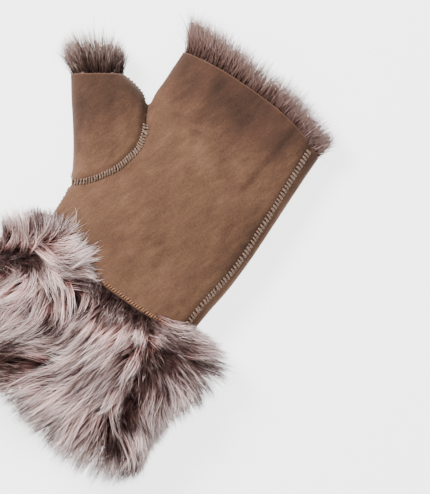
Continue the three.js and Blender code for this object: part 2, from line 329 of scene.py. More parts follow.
def new_material(name: str) -> tuple[bpy.types.Material, bpy.types.NodeTree]:
    """A new material with an empty node tree.

    Args:
        name: The material's name.

    Returns:
        The material and its tree.
    """
    material = bpy.data.materials.new(name)
    material.use_nodes = True
    material.node_tree.nodes.clear()
    return material, material.node_tree


# Forms shared by the pieces


@dataclass(frozen=True)
class Row:
    """One row of a tube: shares of its length, of half its width and of its height."""

    at: float
    left: float
    right: float
    low: float
    high: float


HAND_ROWS = (
    Row(0.0, -1.1, 1.0, 0.07, 1.0),
    Row(0.1, -1.12, 1.025, 0.02, 1.03),
    Row(0.23, -1.12, 1.055, 0.0, 1.02),
    Row(0.38, -1.01, 1.065, 0.0, 1.0),
    Row(0.51, -0.92, 1.06, 0.0, 1.0),
    Row(0.63, -0.86, 1.05, 0.0, 0.98),
    Row(0.74, -0.93, 1.04, 0.0, 0.95),
    Row(0.87, -0.955, 1.035, 0.0, 0.91),
    Row(1.0, -0.965, 1.034, 0.03, 0.85),
)
THUMB_ROWS = (
    Row(-0.36, -0.98, 0.1, 0.2, 0.8),
    Row(-0.15, -0.97, 0.6, 0.04, 1.04),
    Row(0.1, -0.94, 0.96, 0.0, 1.12),
    Row(0.4, -0.95, 1.04, 0.0, 1.1),
    Row(0.6, -0.97, 0.98, 0.0, 1.05),
    Row(0.74, -0.99, 0.9, 0.0, 1.01),
    Row(0.88, -1.0, 0.7, 0.0, 0.97),
    Row(1.0, -1.01, 0.38, 0.03, 0.92),
)
# The pelt under the fur, which is lower and narrower than the fur that it carries
PELT_ROWS = (
    Row(0.0, -0.86, 0.75, 0.05, 0.72),
    Row(0.09, -0.97, 0.82, 0.07, 0.74),
    Row(0.25, -1.03, 0.88, 0.09, 0.78),
    Row(0.5, -1.04, 0.91, 0.1, 0.82),
    Row(0.75, -1.02, 0.92, 0.1, 0.84),
    Row(1.0, -0.96, 0.9, 0.11, 0.8),
)


@dataclass(frozen=True)
class Spot:
    """A round place in plan, in millimetres, with how strong it is."""

    x: float
    y: float
    reach: float
    amount: float


# Swells and dents of the upper side
DENTS = (
    Spot(-24.1, 48.3, 23.5, -1.53),
    Spot(13.4, 54.4, 26.7, -2.04),
    Spot(-5.4, 18.1, 21.4, 1.19),
    Spot(33.2, 3.0, 21.4, -1.02),
    Spot(18.7, -48.3, 21.4, -1.7),
    Spot(-13.4, -27.2, 23.5, 1.02),
)


def spots_at(spots: Sequence[Spot], x: Array, y: Array) -> Array:
    """The sum of the spots' amounts at places in plan, each fading with the distance.

    Args:
        spots: The spots.
        x: The places' x.
        y: The places' y.

    Returns:
        The sums.
    """
    total = np.zeros(np.broadcast(x, y).shape)
    for spot in spots:
        total = total + spot.amount * np.exp(-((x - spot.x) ** 2 + (y - spot.y) ** 2) / spot.reach**2)
    return total


def wrist_edge(x: Array) -> Array:
    """The hand's lower edge at x."""
    return WRIST_Y + 0.06 * HAND_LENGTH * np.abs(x / (HAND_WIDTH / 2)) ** 4


def finger_edge(x: Array) -> Array:
    """The hand's upper edge at x."""
    drop = HAND_LENGTH * np.where(x < 0, 0.036, 0.062)
    return WRIST_Y + HAND_LENGTH - drop * np.abs(x / (HAND_WIDTH / 2)) ** 2.5


def on_thumb(across: Array, along: Array, z: Array) -> Array:
    """Places of the thumb, given across and along it, on the hand.

    Args:
        across: How far across the thumb each place is.
        along: How far along it.
        z: Its height.

    Returns:
        The places in the frame, in the last axis.
    """
    turned = [
        across * math.cos(THUMB_LEAN) - along * math.sin(THUMB_LEAN),
        across * math.sin(THUMB_LEAN) + along * math.cos(THUMB_LEAN),
        z + 0 * across,
    ]
    return np.stack(np.broadcast_arrays(*turned), axis=-1) + THUMB_ROOT


@dataclass(frozen=True)
class Tube:
    """A flattened tube with a pressed underside. Its angle runs from +X over the top."""

    rows: tuple[Row, ...]
    half_width: float
    height: float
    outward: float = 1.0
    fold_share: float = 0.42
    press_share: float = 1.16
    roundness: float = 0.8

    def place(self, across: Array, z: Array, side: Array, edge: Array, at: Array) -> Array:
        """Puts points of the outline in the frame. A tube of the mitten gives its own."""
        raise NotImplementedError

    def surface(self, at: Array, angle: Array, inset: float = 0.0) -> Array:
        """Points of the tube's surface.

        Args:
            at: Shares of the length.
            angle: Angles round the section.
            inset: How far inside the surface.

        Returns:
            The points, in the last axis.
        """
        at, angle = np.broadcast_arrays(np.asarray(at, float), np.asarray(angle, float))
        stops = np.array([row.at for row in self.rows])
        table = np.array([[row.left, row.right, row.low, row.high] for row in self.rows])
        left, right, low, high = np.moveaxis(smooth_table(stops, table, at), -1, 0)
        middle = (left + right) / 2 * self.half_width
        half = (right - left) / 2 * self.half_width
        low = low * self.height
        high = high * self.height
        across = np.sign(np.cos(angle)) * np.abs(np.cos(angle)) ** self.roundness
        side = np.sign(np.sin(angle)) * np.abs(np.sin(angle)) ** self.roundness
        fold = low + (high - low) * self.fold_share
        reach = np.where(side > 0, high - inset - fold, (fold - low - inset) * self.press_share)
        z = np.maximum(low + inset, fold + reach * side)
        return self.place(middle + (half - inset) * across, z, side, middle + half * across, at)

    def normals(self, at: Array, angle: Array) -> Array:
        """The outward normals at points of the surface.

        Args:
            at: Shares of the length.
            angle: Angles round the section.

        Returns:
            The normals, in the last axis.
        """
        step = 1e-3
        along = self.surface(at + step, angle) - self.surface(at - step, angle)
        around = self.surface(at, angle + step) - self.surface(at, angle - step)
        return unit(np.cross(along, around) * self.outward)

    def shell(self, stations: Array, count: int, inset: float = 0.0) -> bmesh.types.BMesh:
        """An open skin through rings at some stations, in millimetres.

        Args:
            stations: Shares of the length.
            count: Points of each ring.
            inset: How far inside the surface.

        Returns:
            The skin, with its two ends open.
        """
        made = bmesh.new()
        angles = np.linspace(0, 2 * math.pi, count, endpoint=False)
        rings = []
        for station in stations:
            circle = bmesh.ops.create_circle(made, cap_ends=False, segments=count, radius=1.0)["verts"]
            for vert, point in zip(circle, self.surface(station, angles, inset)):
                vert.co = point
            rings.append(list({edge for vert in circle for edge in vert.link_edges}))
        for lower, upper in zip(rings, rings[1:]):
            bmesh.ops.bridge_loops(made, edges=lower + upper)
        return made


class HandTube(Tube):
    """The hand's tube, whose stations run from the wrist to the fingers."""

    def place(self, across: Array, z: Array, side: Array, edge: Array, at: Array) -> Array:
        """Bends the ends to the hand's edges and adds the dents."""
        y = wrist_edge(edge) * (1 - at) + finger_edge(edge) * at
        return np.stack([across, y, z + np.maximum(0, side) * spots_at(DENTS, across, y)], axis=-1)


class ThumbTube(Tube):
    """The thumb's tube, whose stations run from the palm to the thumb's opening."""

    def place(self, across: Array, z: Array, side: Array, edge: Array, at: Array) -> Array:
        """Leans the thumb away from the hand."""
        return on_thumb(across, at * THUMB_LENGTH, z)


class CuffTube(Tube):
    """The cuff's tube, whose stations run from the wrist to the mouth."""

    def place(self, across: Array, z: Array, side: Array, edge: Array, at: Array) -> Array:
        """Bends the start to the hand's edge and slants the mouth."""
        start = wrist_edge(edge * (1 - 0.18 * np.clip(at / 0.09, 0, 1))) - SEAM_GAP
        return np.stack([across, start - at * (CUFF_LENGTH - 0.09 * edge), z], axis=-1)


HAND = HandTube(HAND_ROWS, HAND_WIDTH / 2, HAND_HEIGHT)
THUMB = ThumbTube(THUMB_ROWS, THUMB_WIDTH / 2, THUMB_HEIGHT)
PELT = CuffTube(PELT_ROWS, CUFF_WIDTH / 2, CUFF_HEIGHT, outward=-1.0)


@dataclass(frozen=True)
class HeightField:
    """The top of some meshes over the surface, read in plan."""

    RANGE = ((-125.0, -200.0), (110.0, 115.0))  # the lowest and highest place in plan
    SKY = 200.0  # where the rays start

    low: Array
    step: float
    heights: Array

    @classmethod
    def over(cls, meshes: Sequence[bpy.types.Mesh], step: float = 1.5) -> "HeightField":
        """Casts rays down on the meshes.

        Args:
            meshes: What is looked down on.
            step: The distance between rays.

        Returns:
            The heights, 0 where nothing is hit.
        """
        low, high = np.array(cls.RANGE)
        heights = np.zeros(((high - low) / step).astype(int) + 1)
        for mesh in meshes:
            tree = tree_of(mesh)
            for i in range(heights.shape[0]):
                for j in range(heights.shape[1]):
                    start = Vector((low[0] + i * step, low[1] + j * step, cls.SKY)) * MM
                    hit = tree.ray_cast(start, Vector((0, 0, -1)))[0]
                    if hit is not None:
                        heights[i, j] = max(heights[i, j], hit.z / MM)
        return cls(low, step, heights)

    def at(self, points: Array) -> Array:
        """The height under each point, between the rays.

        Args:
            points: Places in the last axis, of which x and y are read.

        Returns:
            The heights.
        """
        place = (points[..., :2] - self.low) / self.step
        limit = np.array(self.heights.shape) - 2
        cell = np.clip(np.floor(place).astype(int), 0, limit)
        share = np.clip(place - cell, 0.0, 1.0)
        i, j = cell[..., 0], cell[..., 1]
        s, t = share[..., 0], share[..., 1]
        lower = self.heights[i, j] * (1 - s) + self.heights[i + 1, j] * s
        upper = self.heights[i, j + 1] * (1 - s) + self.heights[i + 1, j + 1] * s
        return lower * (1 - t) + upper * t


def tree_of(mesh: bpy.types.Mesh) -> BVHTree:
    """A tree for rays on a mesh, in metres."""
    return BVHTree.FromPolygons([v.co for v in mesh.vertices], [p.vertices[:] for p in mesh.polygons])


# Finishes


@dataclass(frozen=True)
class Suede:
    """Sheepskin suede, dyed and buffed to a short nap.

    The nap scatters the light, so the skin is matt with a soft pale edge, and where it was brushed one way or
    the other it is lighter or darker in cloudy patches. Shade is painted in too: darker in the seams, along
    the creases and in spots along the fold beside the side seam.
    """

    name: str = "Buffed suede sheepskin"
    stops: tuple[tuple[float, str], ...] = (
        (0.2, "#20130c"),
        (0.4, "#362319"),
        (0.55, "#4a3324"),
        (0.78, "#644938"),
    )
    cloud: float = 34.0
    mottle: float = 7.5
    nap: float = 1.0  # real nap is 0.2 mm, drawn coarser so that it shows
    blush_size: float = 19.0
    wrinkle: float = 13.0
    draw: float = 3.2  # the width of the fine lines that brushing leaves
    brush_turn: float = 0.5
    draw_turn: float = 0.35
    blush: str = "#6a4437"
    # Painted shade: the dark tint in the seams' grooves
    painted_seam_shade: str = "#24160f"
    hem_shade: str = "#72513e"
    # How much each pattern lightens the skin, and how much it raises it against the nap
    shades: tuple[tuple[str, float], ...] = (("cloud", 0.3), ("draw", 0.24), ("mottle", 0.2), ("nap", 0.36))
    reliefs: tuple[tuple[str, float], ...] = (("mottle", 2.0), ("wrinkle", -0.8), ("draw", 2.2))
    # Painted shade along the creases, by how deep they are
    painted_fold_shade: float = 0.12
    opening_dark_reach: float = 43.0  # how far down from its openings the skin is darker
    opening_darkening: float = -0.22
    # Brushed patches, darker where the amount is negative; the darker spots along the fold beside the side
    # seam are painted shade
    patches: tuple[Spot, ...] = (
        Spot(-6.0, 60.0, 20.0, -0.02),
        Spot(14.0, 62.0, 20.0, -0.04),
        Spot(44.0, 58.0, 13.0, 0.13),
        Spot(8.0, 48.0, 15.0, -0.12),
        Spot(27.0, 54.0, 12.0, -0.12),
        Spot(25.0, 40.0, 7.0, -0.08),
        Spot(33.0, 66.0, 6.0, -0.1),
        Spot(31.5, 54.0, 6.0, -0.09),
        Spot(30.5, 42.0, 5.5, -0.07),
        Spot(29.5, 31.0, 5.0, -0.06),
        Spot(39.0, 44.0, 8.0, 0.06),
        Spot(22.0, 25.0, 6.0, -0.06),
        Spot(-18.0, 30.0, 11.0, -0.14),
        Spot(-22.0, 42.0, 9.0, 0.06),
        Spot(-34.0, 30.0, 10.0, 0.05),
        Spot(-2.0, 34.0, 7.0, 0.05),
        Spot(14.0, 28.0, 9.0, 0.05),
        Spot(-28.0, 5.0, 14.0, 0.04),
        Spot(-24.0, -30.0, 20.0, 0.1),
        Spot(14.0, -50.0, 18.0, 0.1),
        Spot(30.0, -20.0, 16.0, 0.05),
        Spot(44.0, 10.0, 9.0, 0.05),
        Spot(-90.0, 34.0, 14.0, 0.07),
        Spot(-80.0, 6.0, 13.0, -0.12),
        Spot(-66.0, 8.0, 12.0, -0.16),
        Spot(-56.0, 20.0, 11.0, -0.12),
        Spot(-86.0, 18.0, 10.0, 0.07),
        Spot(-62.0, -4.0, 14.0, -0.28),
        Spot(-76.0, -10.0, 9.0, -0.1),
    )

    def material(self) -> bpy.types.Material:
        """Builds the material, which reads the skin's seam, hem and fold attributes, and paints shade into
        the seams and folds.

        Returns:
            The material.
        """
        material, tree = new_material(self.name)
        place = add_node(tree, "TexCoord").outputs["Object"]
        sockets = {"Vector": place, "Rotation": (0, 0, self.brush_turn), "Scale": (1.0, 0.6, 1.0)}
        brushed = add_node(tree, "Mapping", sockets).outputs[0]
        turned = add_node(tree, "Mapping", {"Vector": place, "Rotation": (0, 0, self.draw_turn)}).outputs[0]
        drawn = add_node(tree, "Mapping", {"Vector": turned, "Scale": (1.0, 0.24, 1.0)}).outputs[0]
        found = {}
        for key, vector, size, detail, roughness, distortion, kind in (
            ("cloud", brushed, self.cloud, 3.0, 0.6, 0.4, "FBM"),
            ("mottle", brushed, self.mottle, 5.0, 0.65, 0.0, "FBM"),
            ("nap", place, self.nap, 3.0, 0.7, 0.0, "FBM"),
            ("draw", drawn, self.draw, 4.0, 0.6, 0.5, "FBM"),
            ("blush", brushed, self.blush_size, 2.0, 0.5, 0.0, "FBM"),
            ("wrinkle", brushed, self.wrinkle, 3.0, 0.6, 0.8, "RIDGED_MULTIFRACTAL"),
        ):
            sockets = {"Vector": vector, "Scale": per_metre(size), "Detail": detail}
            sockets |= {"Roughness": roughness, "Distortion": distortion}
            found[key] = add_node(tree, "TexNoise", sockets, noise_type=kind).outputs["Fac"]
        for key in ("hem", "fold", "seam"):
            found[key] = add_node(tree, "Attribute", attribute_name=key).outputs["Fac"]

        level, relief = 0.0, found["nap"]
        # the folds darken the skin with painted shade
        for key, share in (*self.shades, ("fold", -self.painted_fold_shade)):
            sockets = {"Value": found[key], "Value_001": share, "Value_002": level}
            level = add_node(tree, "Math", sockets, operation="MULTIPLY_ADD").outputs[0]
        for key, share in self.reliefs:
            sockets = {"Value": found[key], "Value_001": share, "Value_002": relief}
            relief = add_node(tree, "Math", sockets, operation="MULTIPLY_ADD").outputs[0]
        sockets = {"Value": found["hem"], "From Min": 4.0, "From Max": self.opening_dark_reach}
        sockets |= {"To Min": self.opening_darkening, "To Max": 0.0}
        fades = [add_node(tree, "MapRange", sockets, interpolation_type="SMOOTHSTEP").outputs[0]]
        for patch in self.patches:
            sockets = {"Vector": place, "Vector_001": (patch.x * MM, patch.y * MM, 0.5 * HAND_HEIGHT * MM)}
            away = add_node(tree, "VectorMath", sockets, operation="DISTANCE").outputs["Value"]
            sockets = {"Value": away, "From Min": 0.0, "From Max": 1.7 * patch.reach * MM}
            sockets |= {"To Min": patch.amount, "To Max": 0.0}
            fades.append(add_node(tree, "MapRange", sockets, interpolation_type="SMOOTHERSTEP").outputs[0])
        for fade in fades:
            level = add_node(tree, "Math", {"Value": level, "Value_001": fade}, operation="ADD").outputs[0]

        color = add_node(tree, "ValToRGB", {"Fac": level}, stops=self.stops).outputs["Color"]
        # the seam's dark tint is painted shade in its groove
        for key, low, high, start, end, tint in (
            ("blush", 0.4, 0.75, 0.0, 0.12, self.blush),
            ("seam", 0.2, 1.0, 0.85, 0.0, self.painted_seam_shade),
            ("hem", 0.1, 0.8, 0.35, 0.0, self.hem_shade),
        ):
            sockets = {"Value": found[key], "From Min": low, "From Max": high, "To Min": start, "To Max": end}
            share = add_node(tree, "MapRange", sockets).outputs[0]
            sockets = {"Factor_Float": share, "A_Color": color, "B_Color": linear(tint)}
            color = add_node(tree, "Mix", sockets, data_type="RGBA").outputs[2]
        sockets = {"Height": relief, "Strength": 0.6, "Distance": 0.3 * MM}
        bump = add_node(tree, "Bump", sockets).outputs["Normal"]
        sockets = {
            "Base Color": color,
            "Normal": bump,
            "Roughness": 0.92,
            "Specular IOR Level": 0.18,
            "Sheen Weight": 0.12,
            "Sheen Roughness": 0.5,
            "Sheen Tint": linear("#d9b9a2"),
        }
        shader = add_node(tree, "BsdfPrincipled", sockets)
        add_node(tree, "OutputMaterial", {"Surface": shader.outputs[0]})
        return material


@dataclass(frozen=True)
class Grained:
    """A finish with one fine grain, which sets its colour and its relief."""

    name: str
    dark: str
    light: str
    grain: float
    detail: float = 2.0
    grain_roughness: float = 0.5
    spread: tuple[float, float] = (0.3, 0.6)  # where the dark colour ends and the light one starts
    bump: float = 0.5
    depth: float = 0.2
    roughness: float = 0.95
    specular: float = 0.15
    sheen: float = 0.0

    def material(self) -> bpy.types.Material:
        """Builds the material.

        Returns:
            The material.
        """
        material, tree = new_material(self.name)
        place = add_node(tree, "TexCoord").outputs["Object"]
        sockets = {"Vector": place, "Scale": per_metre(self.grain), "Detail": self.detail}
        sockets["Roughness"] = self.grain_roughness
        grain = add_node(tree, "TexNoise", sockets).outputs["Fac"]
        stops = tuple(zip(self.spread, (self.dark, self.light)))
        color = add_node(tree, "ValToRGB", {"Fac": grain}, stops=stops).outputs["Color"]
        sockets = {"Height": grain, "Strength": self.bump, "Distance": self.depth * MM}
        bump = add_node(tree, "Bump", sockets).outputs["Normal"]
        sockets = {"Base Color": color, "Normal": bump, "Roughness": self.roughness}
        sockets |= {"Specular IOR Level": self.specular, "Sheen Weight": self.sheen}
        shader = add_node(tree, "BsdfPrincipled", sockets)
        add_node(tree, "OutputMaterial", {"Surface": shader.outputs[0]})
        return material


@dataclass(frozen=True)
class CutEdge(Grained):
    """The cut edge of the skin, undyed inside, which shows as a thin pale line."""

    name: str = "Cut sheepskin edge"
    dark: str = "#5f4635"
    light: str = "#8a6850"
    grain: float = 0.9


@dataclass(frozen=True)
class Thread(Grained):
    """Waxed linen sewing thread, spun of fine fibres, with a dull shine along its twist."""

    grain: float = 0.7  # a real ply is 0.3 mm, drawn coarser so that it shows
    spread: tuple[float, float] = (0.35, 0.62)
    depth: float = 0.15
    roughness: float = 0.6
    specular: float = 0.3
    sheen: float = 0.2


@dataclass(frozen=True)
class Underfur(Grained):
    """The dense short underfur, dark because little light gets between the hairs."""

    grain: float = 3.0
    detail: float = 6.0
    grain_roughness: float = 0.7
    spread: tuple[float, float] = (0.35, 0.68)
    bump: float = 0.9
    depth: float = 1.2
    specular: float = 0.1


@dataclass(frozen=True)
class Hair:
    """Dyed sheep's hair, dark at the root and bleached at the tip, so locks end in pale wisps.

    Its UV map runs from the root to the tip along V, and from dark hair to light hair along U.
    """

    name: str
    dark: tuple[tuple[float, str], ...]
    light: tuple[tuple[float, str], ...]
    roughness: float = 0.55

    def material(self) -> bpy.types.Material:
        """Builds the material.

        Returns:
            The material.
        """
        material, tree = new_material(self.name)
        along = add_node(tree, "UVMap", uv_map=STRAND_MAP).outputs["UV"]
        parts = add_node(tree, "SeparateXYZ", {"Vector": along})
        ramps = [
            add_node(tree, "ValToRGB", {"Fac": parts.outputs["Y"]}, stops=stops).outputs["Color"]
            for stops in (self.dark, self.light)
        ]
        sockets = {"Factor_Float": parts.outputs["X"], "A_Color": ramps[0], "B_Color": ramps[1]}
        color = add_node(tree, "Mix", sockets, data_type="RGBA").outputs[2]
        sockets = {
            "Base Color": color,
            "Roughness": self.roughness,
            "Specular IOR Level": 0.36,
            "Specular Tint": linear("#e6b9ae"),
            "Sheen Weight": 0.04,
            "Sheen Roughness": 0.4,
            "Sheen Tint": linear("#e6c3ba"),
        }
        shader = add_node(tree, "BsdfPrincipled", sockets)
        add_node(tree, "OutputMaterial", {"Surface": shader.outputs[0]})
        return material


# Hair and thread


@dataclass
class Strands:
    """Many tapered hairs or threads as arrays, by strand and point: their paths, radii and tones."""

    paths: Array
    radii: Array
    tones: Array
    sides: int = 3

    def without(self, lost: Array) -> "Strands":
        """The strands that aren't marked as lost."""
        return Strands(self.paths[~lost], self.radii[~lost], self.tones[~lost], self.sides)

    def joined(self, name: str) -> bpy.types.Mesh:
        """One mesh of all the strands, each closed at its root and drawn to a point at its tip.

        Args:
            name: The mesh's name.

        Returns:
            The mesh, with its map from root to tip.
        """
        count, length, _ = self.paths.shape
        sides, rings = self.sides, length - 1
        rng = np.random.default_rng(SEED)
        ways = unit(np.gradient(self.paths, axis=1))
        aside = unit(np.cross(ways, unit(rng.normal(size=(count, 1, 3)))))
        other = np.cross(ways, aside)
        turns = 2 * math.pi * np.arange(sides) / sides
        spokes = (
            aside[:, :rings, None] * np.cos(turns)[None, None, :, None]
            + other[:, :rings, None] * np.sin(turns)[None, None, :, None]
        )
        around = self.paths[:, :rings, None] + spokes * self.radii[:, :rings, None, None]
        points = np.concatenate([around.reshape(count, -1, 3), self.paths[:, -1:]], axis=1)

        faces, maps = self._pattern(rings)
        per_strand = points.shape[1]
        loops = np.concatenate(faces)
        starts = np.cumsum([0] + [len(face) for face in faces[:-1]])
        shift = np.arange(count)[:, None]
        mesh = bpy.data.meshes.new(name)
        mesh.vertices.add(count * per_strand)
        mesh.vertices.foreach_set("co", (points * MM).astype(np.float32).ravel())
        mesh.loops.add(count * len(loops))
        mesh.loops.foreach_set("vertex_index", (loops[None] + per_strand * shift).astype(np.int32).ravel())
        mesh.polygons.add(count * len(faces))
        mesh.polygons.foreach_set("loop_start", (starts[None] + len(loops) * shift).astype(np.int32).ravel())
        flat = np.concatenate(maps)
        uv = np.empty((count, len(loops), 2), dtype=np.float32)
        ring = np.minimum(loops // sides, length - 1)
        uv[..., 0] = 0.97 * np.clip(self.tones, 0, 1)[:, ring] + flat[None, :, 0]
        uv[..., 1] = flat[None, :, 1]
        mesh.uv_layers.new(name=STRAND_MAP).data.foreach_set("uv", uv.ravel())
        mesh.polygons.foreach_set("use_smooth", np.ones(count * len(faces), dtype=bool))
        mesh.update(calc_edges=True)
        mesh.validate()
        return mesh

    def _pattern(self, rings: int) -> tuple[list[Array], list[Array]]:
        """The faces of one strand and their places on the map.

        Args:
            rings: How many rings stand before the tip.

        Returns:
            The vertices of each face, and the map's places of its corners.
        """
        sides = self.sides
        tip = rings * sides
        wide = 0.02
        corners = np.arange(sides)
        faces = [corners[::-1]]
        maps = [np.stack([wide * (0.5 + 0.5 * np.cos(corners)), wide * corners / sides], axis=1)]
        for ring in range(rings):
            low, high = ring / rings, (ring + 1) / rings
            for side in range(sides):
                a, b = ring * sides + side, ring * sides + (side + 1) % sides
                if ring < rings - 1:
                    faces.append(np.array([a, b, b + sides, a + sides]))
                    maps.append(np.array([[0, low], [wide, low], [wide, high], [0, high]]))
                else:
                    faces.append(np.array([a, b, tip]))
                    maps.append(np.array([[0, low], [wide, low], [wide / 2, high]]))
        return faces, maps


@dataclass(frozen=True)
class Lie:
    """How the fur lies at a place in plan. turn is in degrees from -Y, and positive to +X."""

    x: float
    y: float
    turn: float


# How the fur of the cuff lies over its upper side, swirl by swirl from the thumb's side
FUR_LIES = (
    Lie(-63.5, -70.3, -133),
    Lie(-55.7, -60.9, -164),
    Lie(-75.9, -75.3, -116),
    Lie(-70.1, -83.4, 123),
    Lie(-50.6, -75.6, 80),
    Lie(-42.4, -79.6, 30),
    Lie(-37.7, -73.3, 162),
    Lie(-27.9, -75.4, 137),
    Lie(-48.5, -105.3, -14),
    Lie(-33.8, -102.4, 27),
    Lie(-21.1, -93.4, 35),
    Lie(-35.9, -123, -18),
    Lie(-19.7, -124.4, -61),
    Lie(-36.4, -130.9, -18),
    Lie(-17.6, -138.1, -76),
    Lie(-0.9, -86.6, 5),
    Lie(15.4, -82.7, -1),
    Lie(20, -94.6, -28),
    Lie(3.1, -102.9, -10),
    Lie(24.3, -122, -18),
    Lie(9.4, -144, -26),
    Lie(-3.9, -157.3, -24),
    Lie(32.1, -154.5, -8),
    Lie(45.0, -158.0, -2),
    Lie(58.8, -159.9, 6),
    Lie(45.6, -122.1, 9),
    Lie(59.6, -136.4, 92),
    Lie(71.9, -137.6, 47),
    Lie(70.7, -149.9, 5),
    Lie(61.8, -110.6, 38),
    Lie(73.2, -113.8, 41),
    Lie(67.6, -76, 108),
    Lie(69.8, -63, 120),
    Lie(71.5, -92.2, 69),
    Lie(46.3, -83.5, 66),
    Lie(41, -70.6, 87),
    Lie(39.9, -63.8, 149),
)

# The fur's outline as seen from above, from the thumb's side round the mouth and back over the suede's edge
FUR_OUTLINE = np.array(
    [
        [-56, -57], [-68, -63], [-78, -70], [-85, -83], [-89, -95], [-88, -115], [-87, -136],
        [-80, -154], [-62, -167], [-39, -169], [-14, -163], [9, -167.5], [31, -171.5], [52, -171.5],
        [69, -166], [77, -151], [71, -133], [74, -116], [82, -101], [87.5, -86], [87, -73],
        [80, -64], [66, -62], [48, -60], [36, -63], [28, -68], [20, -71.5], [-12, -72],
        [-21, -66], [-28, -58], [-42, -55],
    ],
    dtype=float,
)

# Hollows between the locks, where the roots show dark, the hair is short and pressed down and is painted
# darker as shade. The last five, along the wrist seam, paint the shadow under the suede's edge.
HOLLOWS = (
    Spot(-58.0, -88.0, 5.5, 0.9),
    Spot(-49.0, -86.5, 5.5, 0.9),
    Spot(-18.5, -111.5, 5.0, 0.7),
    Spot(-31.0, -143.8, 7.5, 0.9),
    Spot(50.5, -87.5, 6.5, 1.1),
    Spot(47.0, -103.0, 4.5, 0.5),
    Spot(49.0, -121.0, 5.5, 1.1),
    Spot(54.0, -133.0, 5.5, 1.0),
    Spot(57.5, -149.5, 5.5, 1.1),
    Spot(43.7, -138.6, 6.0, 0.15),
    Spot(-19.0, -78.0, 4.5, 0.35),
    Spot(-8.0, -76.0, 5.0, 0.35),
    Spot(4.0, -75.5, 5.0, 0.35),
    Spot(16.0, -76.0, 5.0, 0.35),
    Spot(27.0, -76.5, 5.0, 0.35),
)


@dataclass(frozen=True)
class Streak:
    """A band of lighter or darker fur between two places in plan."""

    x0: float
    y0: float
    x1: float
    y1: float
    width: float
    amount: float


# Where pale tips lie together, partly painted highlights along the locks' crests; the negative ones are
# painted shade, mostly over the hollows and under the wrist seam
STREAKS = (
    Streak(-73.0, -92.2, -65.7, -81.0, 4.5, 0.45),
    Streak(-65.7, -81.0, -56.8, -75.4, 4.0, 0.45),
    Streak(-56.8, -75.4, -45.2, -77.8, 4.0, 0.45),
    Streak(-45.2, -77.8, -35.5, -86.1, 4.5, 0.4),
    Streak(-46.7, -68.2, -23.9, -57.4, 7.0, 0.3),
    Streak(-55.0, -117.5, -48.5, -105.3, 6.0, 0.35),
    Streak(-48.5, -105.3, -38.8, -118.9, 6.0, 0.4),
    Streak(-51.7, -94.1, -34.8, -103.1, 5.0, 0.3),
    Streak(-26.8, -89.8, -10.4, -103.3, 4.5, 0.55),
    Streak(-2.8, -97.9, 12.4, -94.7, 4.5, 0.5),
    Streak(12.4, -94.7, 38.7, -81.3, 4.0, 0.55),
    Streak(38.7, -81.3, 39.2, -74.0, 4.0, 0.3),
    Streak(-0.9, -86.6, 26.5, -82.4, 4.0, 0.3),
    Streak(-7.1, -149.6, 27.5, -144.8, 9.0, 0.3),
    Streak(-0.7, -122.3, 22.1, -108.3, 8.0, 0.28),
    Streak(28.1, -168.2, 58.6, -162.4, 5.0, 0.3),
    Streak(60.0, -139.0, 66.0, -138.0, 3.5, 0.4),
    Streak(66.0, -138.0, 72.1, -146.6, 3.5, 0.4),
    Streak(74.8, -86.1, 75.0, -111.0, 5.0, 0.2),
    Streak(-76.1, -66.4, -66.0, -68.0, 4.0, 0.25),
    Streak(-65.3, -60.2, -62.0, -72.0, 4.0, -0.2),
    Streak(57.5, -75.6, 72.0, -77.9, 8.0, -0.15),
    Streak(30.0, -130.0, 40.0, -146.0, 6.0, -0.1),
    Streak(49.0, -86.0, 47.0, -104.0, 7.0, -0.35),
    Streak(48.0, -116.0, 56.0, -134.0, 7.0, -0.4),
    Streak(60.0, -95.0, 64.0, -126.0, 11.0, -0.12),
    Streak(-10.0, -77.0, 30.0, -77.0, 4.0, -0.3),
    Streak(-36.0, -148.0, -24.0, -140.0, 9.0, -0.3),
    Streak(-62.0, -88.0, -46.0, -84.0, 5.0, -0.3),
    Streak(-22.0, -128.0, -14.0, -136.0, 6.0, 0.1),
)


def streaks_at(points: Array) -> Array:
    """How much lighter or darker the fur is at places in plan.

    Args:
        points: Places in the last axis, of which x and y are read.

    Returns:
        What is added to the tone.
    """
    total = np.zeros(points.shape[:-1])
    for streak in STREAKS:
        start, end = np.array([streak.x0, streak.y0]), np.array([streak.x1, streak.y1])
        way = end - start
        share = np.clip((points[..., :2] - start) @ way / (way @ way), 0.0, 1.0)
        away = np.linalg.norm(points[..., :2] - start - share[..., None] * way, axis=-1)
        total += streak.amount * np.exp(-((away / streak.width) ** 2))
    return total


@dataclass(frozen=True)
class FurField:
    """The way that the fur runs in plan, from a table of places and the cuff's own spread."""

    lies: tuple[Lie, ...]
    reach: float = 9.0
    spread: float = 22.0  # degrees that the fur leans outwards at the cuff's sides
    spread_weight: float = 0.06

    def ways(self, points: Array) -> Array:
        """Unit ways in plan at places in plan.

        Args:
            points: The places' x and y.

        Returns:
            The ways, in the last axis.
        """
        side = np.radians(self.spread * points[:, 0] / (CUFF_WIDTH / 2))
        total = self.spread_weight * np.stack([np.sin(side), -np.cos(side)], axis=-1)
        for lie in self.lies:
            away = (points[:, 0] - lie.x) ** 2 + (points[:, 1] - lie.y) ** 2
            weight = np.exp(-away / (2 * self.reach**2))[:, None]
            turn = math.radians(lie.turn)
            total = total + weight * np.array([math.sin(turn), -math.cos(turn)])
        return unit(total)


